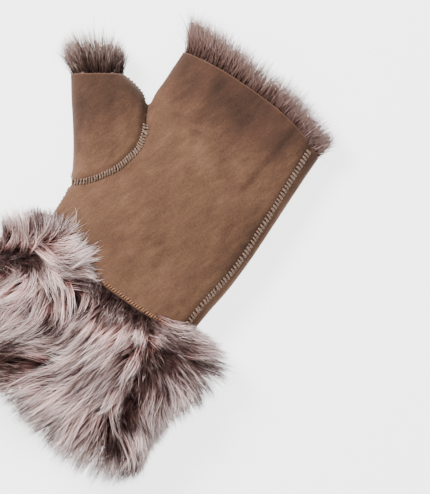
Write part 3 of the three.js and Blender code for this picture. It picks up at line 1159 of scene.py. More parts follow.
@dataclass(frozen=True)
class Coat:
    """How hair stands in locks: sizes of a lock and of the smaller wisps in it, and of a hair."""

    hairs: int
    lock_radius: float
    wisp_radius: float
    wisps: int = 4
    gather: float = 0.72
    wisp_gather: float = 0.85
    shortest: float = 0.6
    loose: float = 0.8
    root_width: float = 0.4
    tip_width: float = 0.14
    points: int = 5
    streaks: float = 0.2  # how much the tone differs from wisp to wisp
    speckle: float = 0.2  # how much it differs from hair to hair
    strays: float = 0.1  # the share of hairs that stray three times as far
    stray_times: float = 3.0
    spread: float = 0.6  # of the radii, for one step of the normal distribution
    lift: float = 1.2

    def grown(self, guides: Array, normals: Array, tones: Array, rng: np.random.Generator) -> Strands:
        """Fills each lock with hairs round its guide, which draw together towards its tip.

        Args:
            guides: A path for each lock, by lock and point.
            normals: The skin's normal at each lock's root.
            tones: Each lock's tone.
            rng: Where the random numbers come from.

        Returns:
            The hairs.
        """
        locks, steps = guides.shape[:2]
        lock = np.repeat(np.arange(locks), self.hairs)
        count = len(lock)
        wisp = rng.integers(self.wisps, size=count)
        normal = normals[lock]
        axis = unit(np.cross(normals, guides[:, -1] - guides[:, 0] + 1e-3))
        second = np.cross(normals, axis)
        spots = rng.normal(size=(locks, self.wisps, 2)) * self.lock_radius * self.spread
        own = spots[lock, wisp]
        fine = rng.normal(size=(count, 2)) * self.wisp_radius * self.spread
        share = np.linspace(0, 1, self.points)
        reach = rng.uniform(self.shortest, 1.0, size=count)
        reach = reach * rng.uniform(0.88, 1.05, size=(locks, self.wisps))[lock, wisp]
        place = np.clip(share[None] * reach[:, None], 0, 1) * (steps - 1)
        low = np.minimum(place.astype(int), steps - 2)
        part = (place - low)[..., None]
        path = guides[lock[:, None], low] * (1 - part) + guides[lock[:, None], low + 1] * part
        wide = (1 - self.gather * share**1.4)[None, :, None]
        narrow = (1 - self.wisp_gather * share)[None, :, None]
        offset = own[:, None, :] * wide + fine[:, None, :] * narrow
        path = path + offset[..., :1] * axis[lock][:, None] + offset[..., 1:] * second[lock][:, None]
        wild = np.where(rng.random(count) < self.strays, self.stray_times, 1.0)[:, None]
        stray = rng.normal(size=(count, 3)) * self.loose * wild
        wave = rng.normal(size=(count, 3)) * self.loose * 0.6
        bow = np.sin(math.pi * share)
        path = path + stray[:, None] * (share**2)[None, :, None] + wave[:, None] * bow[None, :, None]
        lift = rng.normal(size=count) * self.lift
        path = path + (lift[:, None] * share[None])[..., None] * normal[:, None]
        width = self.root_width + (self.tip_width - self.root_width) * share**1.2
        radii = 0.5 * width[None] * rng.uniform(0.8, 1.2, size=(count, 1))
        wisp_tone = rng.normal(size=(locks, self.wisps))[lock, wisp] * self.streaks
        tone = tones[lock] + wisp_tone + rng.normal(size=count) * self.speckle
        return Strands(path, radii, np.repeat(tone[:, None], self.points, axis=1))


@dataclass
class Dressed:
    """A finished piece: its object, the nodes it stands for and its slot."""

    piece: bpy.types.Object
    slot: str
    nodes: tuple[str, ...] = ()

    def declare(self) -> None:
        """Tells the frame what the piece rides on and what it replaces, and logs its triangles."""
        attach(self.piece, "root")
        if self.nodes:
            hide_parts(*self.nodes)
        mesh = self.piece.data
        triangles = sum(len(polygon.vertices) - 2 for polygon in mesh.polygons)
        LOG.info("%s: %d triangles", self.piece.name, triangles)


def dressed_strands(strands: Strands, name: str, finish: bpy.types.Material, slot: str) -> Dressed:
    """Makes a piece of strands.

    Args:
        strands: Its hairs or threads.
        name: Its name.
        finish: Its material.
        slot: Its slot in the record.

    Returns:
        The piece, which stands for no node.
    """
    mesh = strands.joined(name)
    mesh.materials.append(finish)
    return Dressed(new_object(name, mesh), slot)


# The leather


@dataclass(frozen=True)
class Crease:
    """A soft fold of the skin between two places in plan. depth is negative for a ridge."""

    x0: float
    y0: float
    x1: float
    y1: float
    width: float
    depth: float


@dataclass
class Leather:
    """The skin of the hand and thumb, cut along its openings and split along the thumb's seam."""

    grain: float = 1.6
    smoothing: int = 7
    seam_groove: float = 0.6
    groove_width: float = 1.3
    puff: float = 0.5
    puff_width: float = 4.5
    sag: float = 0.55
    sag_wave: float = 27.0
    creases: tuple[Crease, ...] = (
        Crease(50.0, 18.0, 48.0, -18.0, 7.0, 0.6),
        Crease(33.5, 75.0, 29.0, 26.0, 2.8, 0.85),
        Crease(-21.0, 72.0, -19.0, 46.0, 2.8, 0.5),
        Crease(36.0, 4.0, 38.0, -14.0, 3.0, 0.35),
        Crease(-30.0, 39.5, -17.0, 43.0, 2.2, 0.55),
        Crease(-27.0, 35.5, -12.0, 38.0, 2.2, 0.4),
        Crease(-10.0, 64.0, 2.0, 58.0, 2.8, 0.3),
        Crease(-42.0, 22.0, -26.0, 8.0, 5.0, 0.45),
        Crease(-70.0, 22.0, -58.0, 8.0, 4.0, 0.4),
        Crease(-36.0, -34.0, -8.0, -52.0, 6.0, 0.45),
        Crease(6.0, -30.0, 30.0, -44.0, 6.0, 0.4),
        Crease(-20.0, 34.0, 8.0, 22.0, 6.0, -0.4),
        Crease(0.0, 40.0, 24.0, 20.0, 5.0, 0.35),
    )
    thumb_seam: Array = field(
        default_factory=lambda: np.array(
            [
                [-1.5, -0.18],
                [-1.0, -0.195],
                [-0.62, -0.186],
                [-0.38, -0.157],
                [-0.05, -0.1],
                [0.24, -0.037],
                [0.5, 0.063],
                [0.7, 0.146],
                [0.84, 0.246],
                [0.93, 0.371],
                [0.95, 0.5],
                [0.985, 0.643],
                [1.04, 0.82],
                [1.1, 1.2],
            ]
        )
    )
    side_seam: Array = field(
        default_factory=lambda: np.array(
            [[0.9, -0.1], [0.905, 0.15], [0.965, 0.35], [0.945, 0.6], [0.9, 0.85], [0.86, 1.1]]
        )
    )
    tree: BVHTree | None = None

    @cached_property
    def thumb_line(self) -> Array:
        """The seam round the thumb's base in plan.

        Returns:
            Its points.
        """
        table = self.thumb_seam * [THUMB_WIDTH / 2, THUMB_LENGTH]
        stops = lengths_along(table)
        line = smooth_table(stops, table, np.linspace(0, stops[-1], 160))
        return on_thumb(line[:, 0], line[:, 1], np.zeros(len(line)))

    @cached_property
    def side_line(self) -> Array:
        """The seam on the little finger's side in plan.

        Returns:
            Its points.
        """
        y = self.side_seam[:, 1] * HAND_LENGTH + WRIST_Y
        at = np.linspace(y[0], y[-1], 160)
        x = smooth_table(y, self.side_seam[:, :1] * HAND_WIDTH / 2, at)[:, 0]
        return np.stack([x, at, np.zeros_like(at)], axis=1)

    def body(self) -> bpy.types.Mesh:
        """The outside of hand and thumb grown together, in metres, past both openings.

        Returns:
            The mesh.
        """
        whole = bmesh.new()
        for tube, stations, count in (
            (HAND, np.linspace(-0.08, 1.08, 60), 96),
            (THUMB, np.linspace(-0.3, 1.12, 34), 64),
        ):
            part = tube.shell(stations, count)
            bmesh.ops.holes_fill(part, edges=[edge for edge in part.edges if edge.is_boundary])
            bmesh.ops.recalc_face_normals(part, faces=part.faces)
            spare = mesh_of(part, "spare")
            whole.from_mesh(spare)
            bpy.data.meshes.remove(spare)
        bmesh.ops.scale(whole, vec=(MM, MM, MM), verts=whole.verts)
        return remeshed(mesh_of(whole, "body"), "leather", self.grain)

    def shaped(self, mesh: bpy.types.Mesh) -> bmesh.types.BMesh:
        """Smooths the body and presses the seams, creases and soft hollows into it.

        Args:
            mesh: The remeshed body.

        Returns:
            The shaped body, in metres.
        """
        made = bmesh.new()
        made.from_mesh(mesh)
        relax(made, self.smoothing)
        made.normal_update()
        places = np.array([vert.co for vert in made.verts]) / MM
        normals = np.array([vert.normal for vert in made.verts])
        moved = places + normals * self.relief(places, normals)[:, None]
        moved[:, 2] = np.maximum(moved[:, 2], 0.0)
        for vert, place in zip(made.verts, moved * MM):
            vert.co = place
        return made

    def folds(self, places: Array) -> Array:
        """How deep the creases are at each point of the skin.

        Args:
            places: The points.

        Returns:
            The depths.
        """
        depth = np.zeros(len(places))
        for crease in self.creases:
            line = np.array([[crease.x0, crease.y0], [crease.x1, crease.y1]])
            depth += crease.depth * np.exp(-((from_polyline(places, line) / crease.width) ** 2))
        return depth

    def relief(self, places: Array, normals: Array) -> Array:
        """How far each point of the skin is moved outwards.

        Args:
            places: The points.
            normals: The skin's normals there.

        Returns:
            The distances.
        """
        upper = np.clip(normals[:, 2], 0, 1)
        push = self.sag * rough(places, self.sag_wave, 3.1) + 0.3 * self.sag * rough(places, 9.0, 7.7)
        push = push * (0.3 + 0.7 * upper)
        push = push - upper * self.folds(places)
        thumb = from_polyline(places, self.thumb_line)
        side = np.where(normals[:, 2] > 0, from_polyline(places, self.side_line), FAR_AWAY)
        seam = np.minimum(thumb, side)
        push = push - self.seam_groove * np.exp(-((seam / self.groove_width) ** 2))
        return push + self.puff * np.exp(-(((seam - self.puff_width) / 2.2) ** 2))

    def trim(self, made: bmesh.types.BMesh, axis: Array, level: Callable[[Array], Array]) -> None:
        """Cuts away what lies past a curved level, straightening it for the cut and bending it back.

        Args:
            made: The skin, in metres.
            axis: The unit way that points past the level.
            level: How far along the axis the level lies at each place. It reads the place across the axis.
        """
        for way in (-1.0, 1.0):
            places = np.array([vert.co for vert in made.verts]) / MM
            places = places + way * level(places)[:, None] * axis
            for vert, place in zip(made.verts, places * MM):
                vert.co = place
            if way < 0:
                cut(made, (0, 0, 0), axis, 1e-6)

    def seam_level(self, places: Array) -> Array:
        """Where the thumb's seam lies along the way halfway between across the thumb and along it.

        Args:
            places: Points of the skin, each read by its place across that way.

        Returns:
            How far along it the seam is, carried on straight past its ends.
        """
        axis = self.seam_axis[:2]
        line = self.thumb_line[:, :2]
        side = np.array([-axis[1], axis[0]])
        stops = line @ side
        order = np.argsort(stops)
        spot = places[:, :2] @ side
        values = (line @ axis)[order]
        stops = stops[order]
        slope_low = (values[1] - values[0]) / (stops[1] - stops[0])
        slope_high = (values[-1] - values[-2]) / (stops[-1] - stops[-2])
        level = np.interp(spot, stops, values)
        level = level + np.minimum(0, spot - stops[0]) * slope_low
        return level + np.maximum(0, spot - stops[-1]) * slope_high

    @cached_property
    def seam_axis(self) -> Array:
        """The way across the thumb's seam, from the hand to the thumb."""
        turn = THUMB_LEAN + math.radians(45)
        return np.array([-math.sin(turn), math.cos(turn), 0.0])

    def panels(self) -> dict[str, bmesh.types.BMesh]:
        """The hand's skin and the thumb's, each cut at its openings and at the seam.

        Returns:
            The skins, by name.
        """
        whole = self.shaped(self.body())
        self.tree = BVHTree.FromBMesh(whole)
        hand, thumb = whole, whole.copy()
        gap = SEAM_GAP / 2
        self.trim(hand, self.seam_axis, lambda places: self.seam_level(places) - gap)
        self.trim(thumb, -self.seam_axis, lambda places: -self.seam_level(places) - gap)
        self.trim(hand, FINGER_WAY, lambda places: finger_edge(places[:, 0]))
        self.trim(hand, -FINGER_WAY, lambda places: -wrist_edge(places[:, 0]))
        mouth = on_thumb(np.zeros(1), np.full(1, THUMB_LENGTH), np.zeros(1))[0]
        self.trim(thumb, THUMB_WAY, lambda places: np.full(len(places), mouth @ THUMB_WAY))
        return {"hand": hand, "thumb": thumb}

    def finished(
        self, made: bmesh.types.BMesh, name: str, finishes: Sequence[bpy.types.Material]
    ) -> bpy.types.Object:
        """Gives a skin its wall, its attributes and its materials.

        Args:
            made: The skin's outside, in metres.
            name: The piece's name.
            finishes: The materials of its outside, inside and cut edge.

        Returns:
            The piece.
        """
        bmesh.ops.recalc_face_normals(made, faces=made.faces)
        mesh = mesh_of(made, name)
        places = coordinates(mesh)
        upper = np.empty(3 * len(mesh.vertices), dtype=np.float32)
        mesh.vertices.foreach_get("normal", upper)
        upper = upper.reshape(-1, 3)[:, 2]
        side = np.where(upper > UNDERSIDE, from_polyline(places, self.side_line), FAR_AWAY)
        seam = np.minimum(from_polyline(places, self.thumb_line), side)
        hem = np.abs(finger_edge(places[:, 0]) - places[:, 1])
        if "thumb" in name:
            hem = THUMB_LENGTH - (places[:, :2] - THUMB_ROOT[:2]) @ THUMB_WAY[:2]
        for key, values in (("seam", seam), ("hem", hem), ("fold", self.folds(places) * (upper > 0))):
            attribute = mesh.attributes.new(key, "FLOAT", "POINT")
            attribute.data.foreach_set("value", values.astype(np.float32))
        soften(mesh)
        blank = new_object(name, mesh)
        wall = blank.modifiers.new("Wall", "SOLIDIFY")
        wall.thickness = SKIN * MM
        wall.offset = -1.0
        wall.use_even_offset = False
        wall.material_offset = 1
        wall.material_offset_rim = 2
        for finish in finishes:
            mesh.materials.append(finish)
        return new_object(name, with_modifiers(blank, name))

    def build(self) -> list[Dressed]:
        """The two skins.

        Returns:
            The pieces.
        """
        inside = Underfur("Sheepskin's wool side", "#4b3b38", "#857370", grain=2.0)
        finishes = [finish.material() for finish in (Suede(), inside, CutEdge())]
        return [
            Dressed(self.finished(made, f"{name}_skin", finishes), "suede", (f"{name}_panel",))
            for name, made in self.panels().items()
        ]


# The seams


class Aim(Enum):
    """Which way a seam's guide is projected on to the skin."""

    DOWN = (0.0, 0.0, -1.0)
    UP = (0.0, 0.0, 1.0)
    NEAREST = (0.0, 0.0, 0.0)


@dataclass(frozen=True)
class WhipStitch:
    """A row of slanted whip stitches over a seam."""

    name: str
    spacing: float
    reach: float
    slant: float
    thread: float
    lift: float
    sink: float = 0.35
    points: int = 7

    def sewn(self, guide: Array, aim: Aim, tree: BVHTree, rng: np.random.Generator) -> Array:
        """The paths of the stitches along a guide.

        Args:
            guide: Points near the skin along the seam.
            aim: How they are projected.
            tree: The skin.
            rng: Where the random numbers come from.

        Returns:
            Paths by stitch and point.
        """
        lengths = lengths_along(guide)
        stops = np.arange(self.spacing / 2, lengths[-1], self.spacing)
        stops = stops + rng.normal(size=len(stops)) * 0.06 * self.spacing
        spots, ahead, back = (
            np.stack([np.interp(stops + shift, lengths, guide[:, i]) for i in range(3)], axis=1)
            for shift in (0.0, 0.5, -0.5)
        )
        paths = []
        for spot, way in zip(spots, unit(ahead - back)):
            placed, normal = self._on_skin(spot, aim, tree)
            if placed is None:
                continue
            across = unit(np.cross(normal, way))
            along = np.cross(across, normal)
            share = np.linspace(-1, 1, self.points)[:, None]
            bar = placed + across * share * self.reach / 2 + along * share * self.slant / 2
            path = []
            for point, s in zip(bar, share[:, 0]):
                under, out = self._on_skin(point + normal * 2.0, Aim.NEAREST, tree)
                rise = self.lift * (1 - s**2) - self.sink * s**4
                path.append(under + out * rise)
            paths.append(path)
        return np.array(paths)

    @staticmethod
    def _on_skin(point: Array, aim: Aim, tree: BVHTree) -> tuple[Array | None, Array | None]:
        """The place on the skin that a guide point is projected to, with the normal there.

        Args:
            point: The guide point.
            aim: How it is projected.
            tree: The skin.

        Returns:
            The place and the normal, or None for both where the skin isn't met.
        """
        start = Vector(point) * MM
        if aim is Aim.NEAREST:
            place, normal, _, _ = tree.find_nearest(start)
        else:
            way = Vector(aim.value)
            place, normal, _, _ = tree.ray_cast(start - way * 0.2, way)
        if place is None:
            return None, None
        return np.array(place) / MM, np.array(normal)


@dataclass
class Seams:
    """The whip stitches of the side, the thumb, the palm's folded edge and the wrist."""

    leather: Leather
    side: WhipStitch = WhipStitch("side_stitches", spacing=2.35, reach=3.1, slant=1.3, thread=1.35, lift=0.7)
    thumb: WhipStitch = WhipStitch("thumb_stitches", spacing=1.7, reach=2.7, slant=1.5, thread=1.25, lift=0.8)
    edge: WhipStitch = WhipStitch("edge_stitches", spacing=2.4, reach=2.2, slant=0.9, thread=0.8, lift=0.25)
    cuff: WhipStitch = WhipStitch("wrist_stitches", spacing=1.8, reach=2.2, slant=1.0, thread=0.95, lift=0.55)
    thumb_start: tuple[float, float] = (-60.5, -8.0)  # x and y past which the thumb's seam shows
    thumb_end: float = 24.0  # the y of its end, in the corner between thumb and hand
    palm_edge: tuple[float, float] = (-64.0, 14.0)  # x and height of the palm's folded edge
    palm_end: float = -27.0
    # How far across the thumb its inner edge lies, at shares of its length
    inner_edge: tuple[tuple[float, float], ...] = ((0.6, 25.5), (0.74, 23.6), (0.88, 18.5), (1.0, 10.5))

    def guides(self) -> list[tuple[WhipStitch, Array, Aim]]:
        """Each row of stitches with the guide that it follows.

        Returns:
            Stitch, guide and aim of each row.
        """
        side = self.leather.side_line
        side = side[(side[:, 1] > wrist_edge(side[:, 0]) + 1) & (side[:, 1] < finger_edge(side[:, 0]) - 3)]
        thumb = self.leather.thumb_line
        thumb = thumb[(thumb[:, 0] > self.thumb_start[0]) | (thumb[:, 1] > self.thumb_start[1])]
        thumb = thumb[: int(np.argmax(thumb[:, 1] > self.thumb_end))]
        palm_y = np.linspace(WRIST_Y + 9, self.palm_end, 40)
        palm = np.stack([np.full(40, self.palm_edge[0]), palm_y, np.full(40, self.palm_edge[1])], axis=1)
        along = np.linspace(0.72, 0.99, 30) * THUMB_LENGTH
        stops, edge = np.transpose(self.inner_edge)
        inner = on_thumb(np.interp(along, stops * THUMB_LENGTH, edge), along, np.full(30, 12.0))
        turn = np.linspace(0, 2 * math.pi, 200)
        wrist = HAND.surface(np.full(200, 0.012), turn)
        return [
            (self.side, side, Aim.DOWN),
            (self.thumb, thumb, Aim.DOWN),
            (self.thumb, thumb, Aim.UP),
            (self.edge, palm, Aim.NEAREST),
            (self.edge, inner, Aim.NEAREST),
            (self.cuff, wrist, Aim.NEAREST),
        ]

    def build(self) -> list[Dressed]:
        """One piece of joined threads for each kind of stitch.

        Returns:
            The pieces.
        """
        light = Thread("Waxed linen thread", "#38271d", "#6f5442").material()
        tan = Thread("Tan linen thread", "#4a2e1b", "#8a5c3a").material()
        rng = np.random.default_rng(SEED)
        rows: dict[WhipStitch, list[Array]] = {}
        for stitch, guide, aim in self.guides():
            paths = stitch.sewn(guide, aim, self.leather.tree, rng)
            paths[..., 2] = np.maximum(paths[..., 2], 0.6 * stitch.thread)
            rows.setdefault(stitch, []).append(paths)
        pieces = []
        for stitch, found in rows.items():
            paths = np.concatenate(found)
            taper = 1 - 0.45 * np.abs(np.linspace(-1, 1, stitch.points)) ** 3
            radii = 0.5 * stitch.thread * taper[None] * rng.uniform(0.88, 1.12, size=(len(paths), 1))
            strands = Strands(paths, radii, np.full(radii.shape, 0.5), sides=6)
            thread = tan if stitch is self.cuff else light
            pieces.append(dressed_strands(strands, stitch.name, thread, "suede"))
        return pieces


# The wool


@dataclass(frozen=True)
class Fringe:
    """Wool that stands out of an opening in tufts, all the way round it."""

    name: str
    tube: Tube
    way: tuple[float, float, float]
    locks: int
    length: float
    depth: float
    fan: float
    coat: Coat
    tall: tuple[Spot, ...] = ()
    tones: tuple[Spot, ...] = ()
    swept: tuple[Spot, ...] = ()
    lean: float = 0.0
    unruly: float = 0.1
    rise: float = 0.6
    dome: float = 0.0
    uneven: float = 0.08
    tone: float = 0.38
    layer: tuple[float, float] = (0.8, 5.0)  # how far under the skin the roots are
    steps: int = 8
    far: tuple[float, float] = (-116.0, 100.0)  # x and y past which the tips are held back
    far_room: tuple[float, float] = (5.0, 8.0)
    # At a share of the first bit of a hair, how far it has to be under the skin
    covers: tuple[tuple[float, float], ...] = ((0.0, 0.9), (0.2, 0.3))

    def strands(self, skin: BVHTree, rng: np.random.Generator) -> Strands:
        """The wool's hairs.

        Args:
            skin: The outside of the leather, which no root may pass.
            rng: Where the random numbers come from.

        Returns:
            The hairs, from their roots inside the opening to their tips.
        """
        angle = 2 * math.pi * (np.arange(self.locks) + rng.uniform(0, 1, self.locks)) / self.locks
        way = np.array(self.way)
        layer = rng.uniform(SKIN + self.layer[0], SKIN + self.layer[1], self.locks)
        roots = np.array([self.tube.surface(1.0, a, i) for a, i in zip(angle, layer)])
        roots = roots - way * rng.uniform(0.3, 1.0, self.locks)[:, None] * self.depth
        normals = self.tube.normals(np.ones(self.locks), angle)
        edge = self.tube.surface(1.0, np.linspace(0, 2 * math.pi, 60))
        middle = edge.mean(axis=0)
        out = roots - middle
        out = out - (out @ way)[:, None] * way
        half = np.abs(out).max()
        leaning = out / half * self.fan
        leaning[:, :2] += rng.normal(size=(self.locks, 2)) * self.unruly
        leaning[:, 2] = leaning[:, 2] * self.rise + rng.normal(size=self.locks) * self.unruly + 0.05
        sideways = np.cross(way, [0, 0, 1.0])
        leaning += (self.lean + spots_at(self.swept, roots[:, 0], roots[:, 1]))[:, None] * sideways
        reach = self.length * rng.uniform(0.78, 1.12, self.locks)
        reach = reach * (1 + spots_at(self.tall, roots[:, 0], roots[:, 1]))
        reach = reach * (1 - self.dome * (np.linalg.norm(out, axis=1) / half) ** 2)
        curl = rng.normal(size=(self.locks, 3)) * 1.6 * self.unruly
        path = [roots]
        here = roots.copy()
        for step in range(self.steps):
            share = (step + 0.5) / self.steps
            ahead = unit(way + leaning * min(1.0, 1.6 * share) + curl * share**2)
            here = here + ahead * (reach / self.steps)[:, None]
            path.append(here)
        guides = np.stack(path, axis=1)
        tone = self.tone + spots_at(self.tones, roots[:, 0], roots[:, 1])
        tone = tone + rng.normal(size=self.locks) * self.uneven
        made = self.coat.grown(guides, normals, tone, rng)
        points = made.paths
        points[..., 0] = -eased(-points[..., 0], -self.far[0], self.far_room[0])
        points[..., 1] = eased(points[..., 1], self.far[1], self.far_room[1])
        points[..., 2] = np.maximum(points[..., 2], TABLE_GAP)
        lost = np.zeros(len(points), dtype=bool)
        for share, margin in self.covers:
            for number, point in enumerate(points[:, 0] * (1 - share) + points[:, 1] * share):
                near, normal, _, _ = skin.find_nearest(Vector(point) * MM)
                lost[number] |= (near - Vector(point) * MM).dot(normal) < (SKIN + margin) * MM
        return made.without(lost)


@dataclass
class Wool:
    """The wool lining, which shows as a fringe at the fingers and at the thumb."""

    skin: BVHTree
    core_grain: float = 3.4
    core_smoothing: int = 3
    hand_core: float = 78.5  # the y that the hand's dense wool reaches
    thumb_core: float = 2.0  # how far past its opening the thumb's reaches
    fringe: Hair = Hair(
        "Clipped sheep's wool",
        dark=((0.0, "#140b09"), (0.4, "#3a2723"), (0.7, "#5c4640"), (1.0, "#7f6862")),
        light=((0.0, "#281b17"), (0.4, "#644c45"), (0.7, "#947a72"), (1.0, "#c4aea7")),
        roughness=0.7,
    )
    tuft: Hair = Hair(
        "Long sheep's wool",
        dark=((0.0, "#040202"), (0.35, "#0e0706"), (0.7, "#33231f"), (1.0, "#735f58")),
        light=((0.0, "#0a0605"), (0.35, "#22160f"), (0.7, "#6c574f"), (1.0, "#cdbdb5")),
        roughness=0.65,
    )

    def core(self, part: str, axis: Array, level: float, material: bpy.types.Material) -> Dressed:
        """The dense wool between skin and hand: the CAD's solid, softened and cut short of the fringe's tips.

        Args:
            part: hand or thumb.
            axis: The way out of the opening.
            level: How far along the axis the dense wool reaches.
            material: Its finish.

        Returns:
            The piece.
        """
        node, name = f"{part}_wool", f"{part}_lining"
        made = bmesh.new()
        made.from_mesh(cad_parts[node].data)
        bmesh.ops.remove_doubles(made, verts=made.verts, dist=1e-5)
        cut(made, Vector(axis * level * MM), axis, 1e-7)
        bmesh.ops.holes_fill(made, edges=[edge for edge in made.edges if edge.is_boundary])
        soft = remeshed(mesh_of(made, name), name, self.core_grain)
        made = bmesh.new()
        made.from_mesh(soft)
        relax(made, self.core_smoothing)
        made.to_mesh(soft)
        made.free()
        soft.materials.clear()
        soft.materials.append(material)
        soften(soft)
        return Dressed(new_object(name, soft), "wool", (node,))

    def build(self) -> list[Dressed]:
        """The cores and the fringes.

        Returns:
            The pieces.
        """
        dense = Underfur("Dense sheep's wool", "#2a1f1e", "#5b4a47").material()
        mouth = float(THUMB_ROOT @ THUMB_WAY) + THUMB_LENGTH
        pieces = [
            self.core("hand", FINGER_WAY, self.hand_core, dense),
            self.core("thumb", THUMB_WAY, mouth + self.thumb_core, dense),
        ]
        finger = Fringe(
            "finger_fringe",
            HAND,
            tuple(FINGER_WAY),
            locks=4000,
            length=25.5,
            depth=6.0,
            fan=0.4,
            lean=-0.08,
            unruly=0.13,
            tall=(
                Spot(-52.0, 74.0, 9.0, 0.28),
                Spot(-34.0, 76.0, 14.0, 0.19),
                Spot(20.0, 78.0, 14.0, -0.03),
                Spot(46.0, 74.0, 15.0, -0.2),
            ),
            tones=(Spot(-50.0, 74.0, 12.0, -0.4), Spot(45.0, 70.0, 26.0, 0.1)),
            swept=(Spot(-56.0, 74.0, 12.0, -0.62), Spot(48.0, 74.0, 10.0, 0.15)),
            coat=Coat(
                hairs=2,
                lock_radius=0.8,
                wisp_radius=1.3,
                wisps=1,
                gather=0.1,
                wisp_gather=0.2,
                loose=1.6,
                root_width=0.42,
                tip_width=0.1,
                points=4,
                streaks=0.04,
                speckle=0.14,
            ),
        )
        tuft = Fringe(
            "thumb_fringe",
            THUMB,
            tuple(THUMB_WAY),
            locks=780,
            length=40.5,
            depth=7.0,
            fan=0.46,
            lean=-0.2,
            unruly=0.12,
            tall=(Spot(-78.0, 40.0, 9.0, -0.16), Spot(-94.0, 28.0, 11.0, 0.12)),
            rise=0.45,
            dome=0.27,
            uneven=0.12,
            tone=0.26,
            coat=Coat(
                hairs=5,
                lock_radius=0.9,
                wisp_radius=1.5,
                wisps=1,
                gather=0.15,
                wisp_gather=0.62,
                shortest=0.55,
                loose=1.0,
                root_width=0.42,
                tip_width=0.08,
                points=4,
                streaks=0.1,
                speckle=0.14,
            ),
        )
        rng = np.random.default_rng(SEED + 1)
        for fringe, finish in ((finger, self.fringe), (tuft, self.tuft)):
            strands = fringe.strands(self.skin, rng)
            pieces.append(dressed_strands(strands, fringe.name, finish.material(), "wool"))
        return pieces


# The cuff


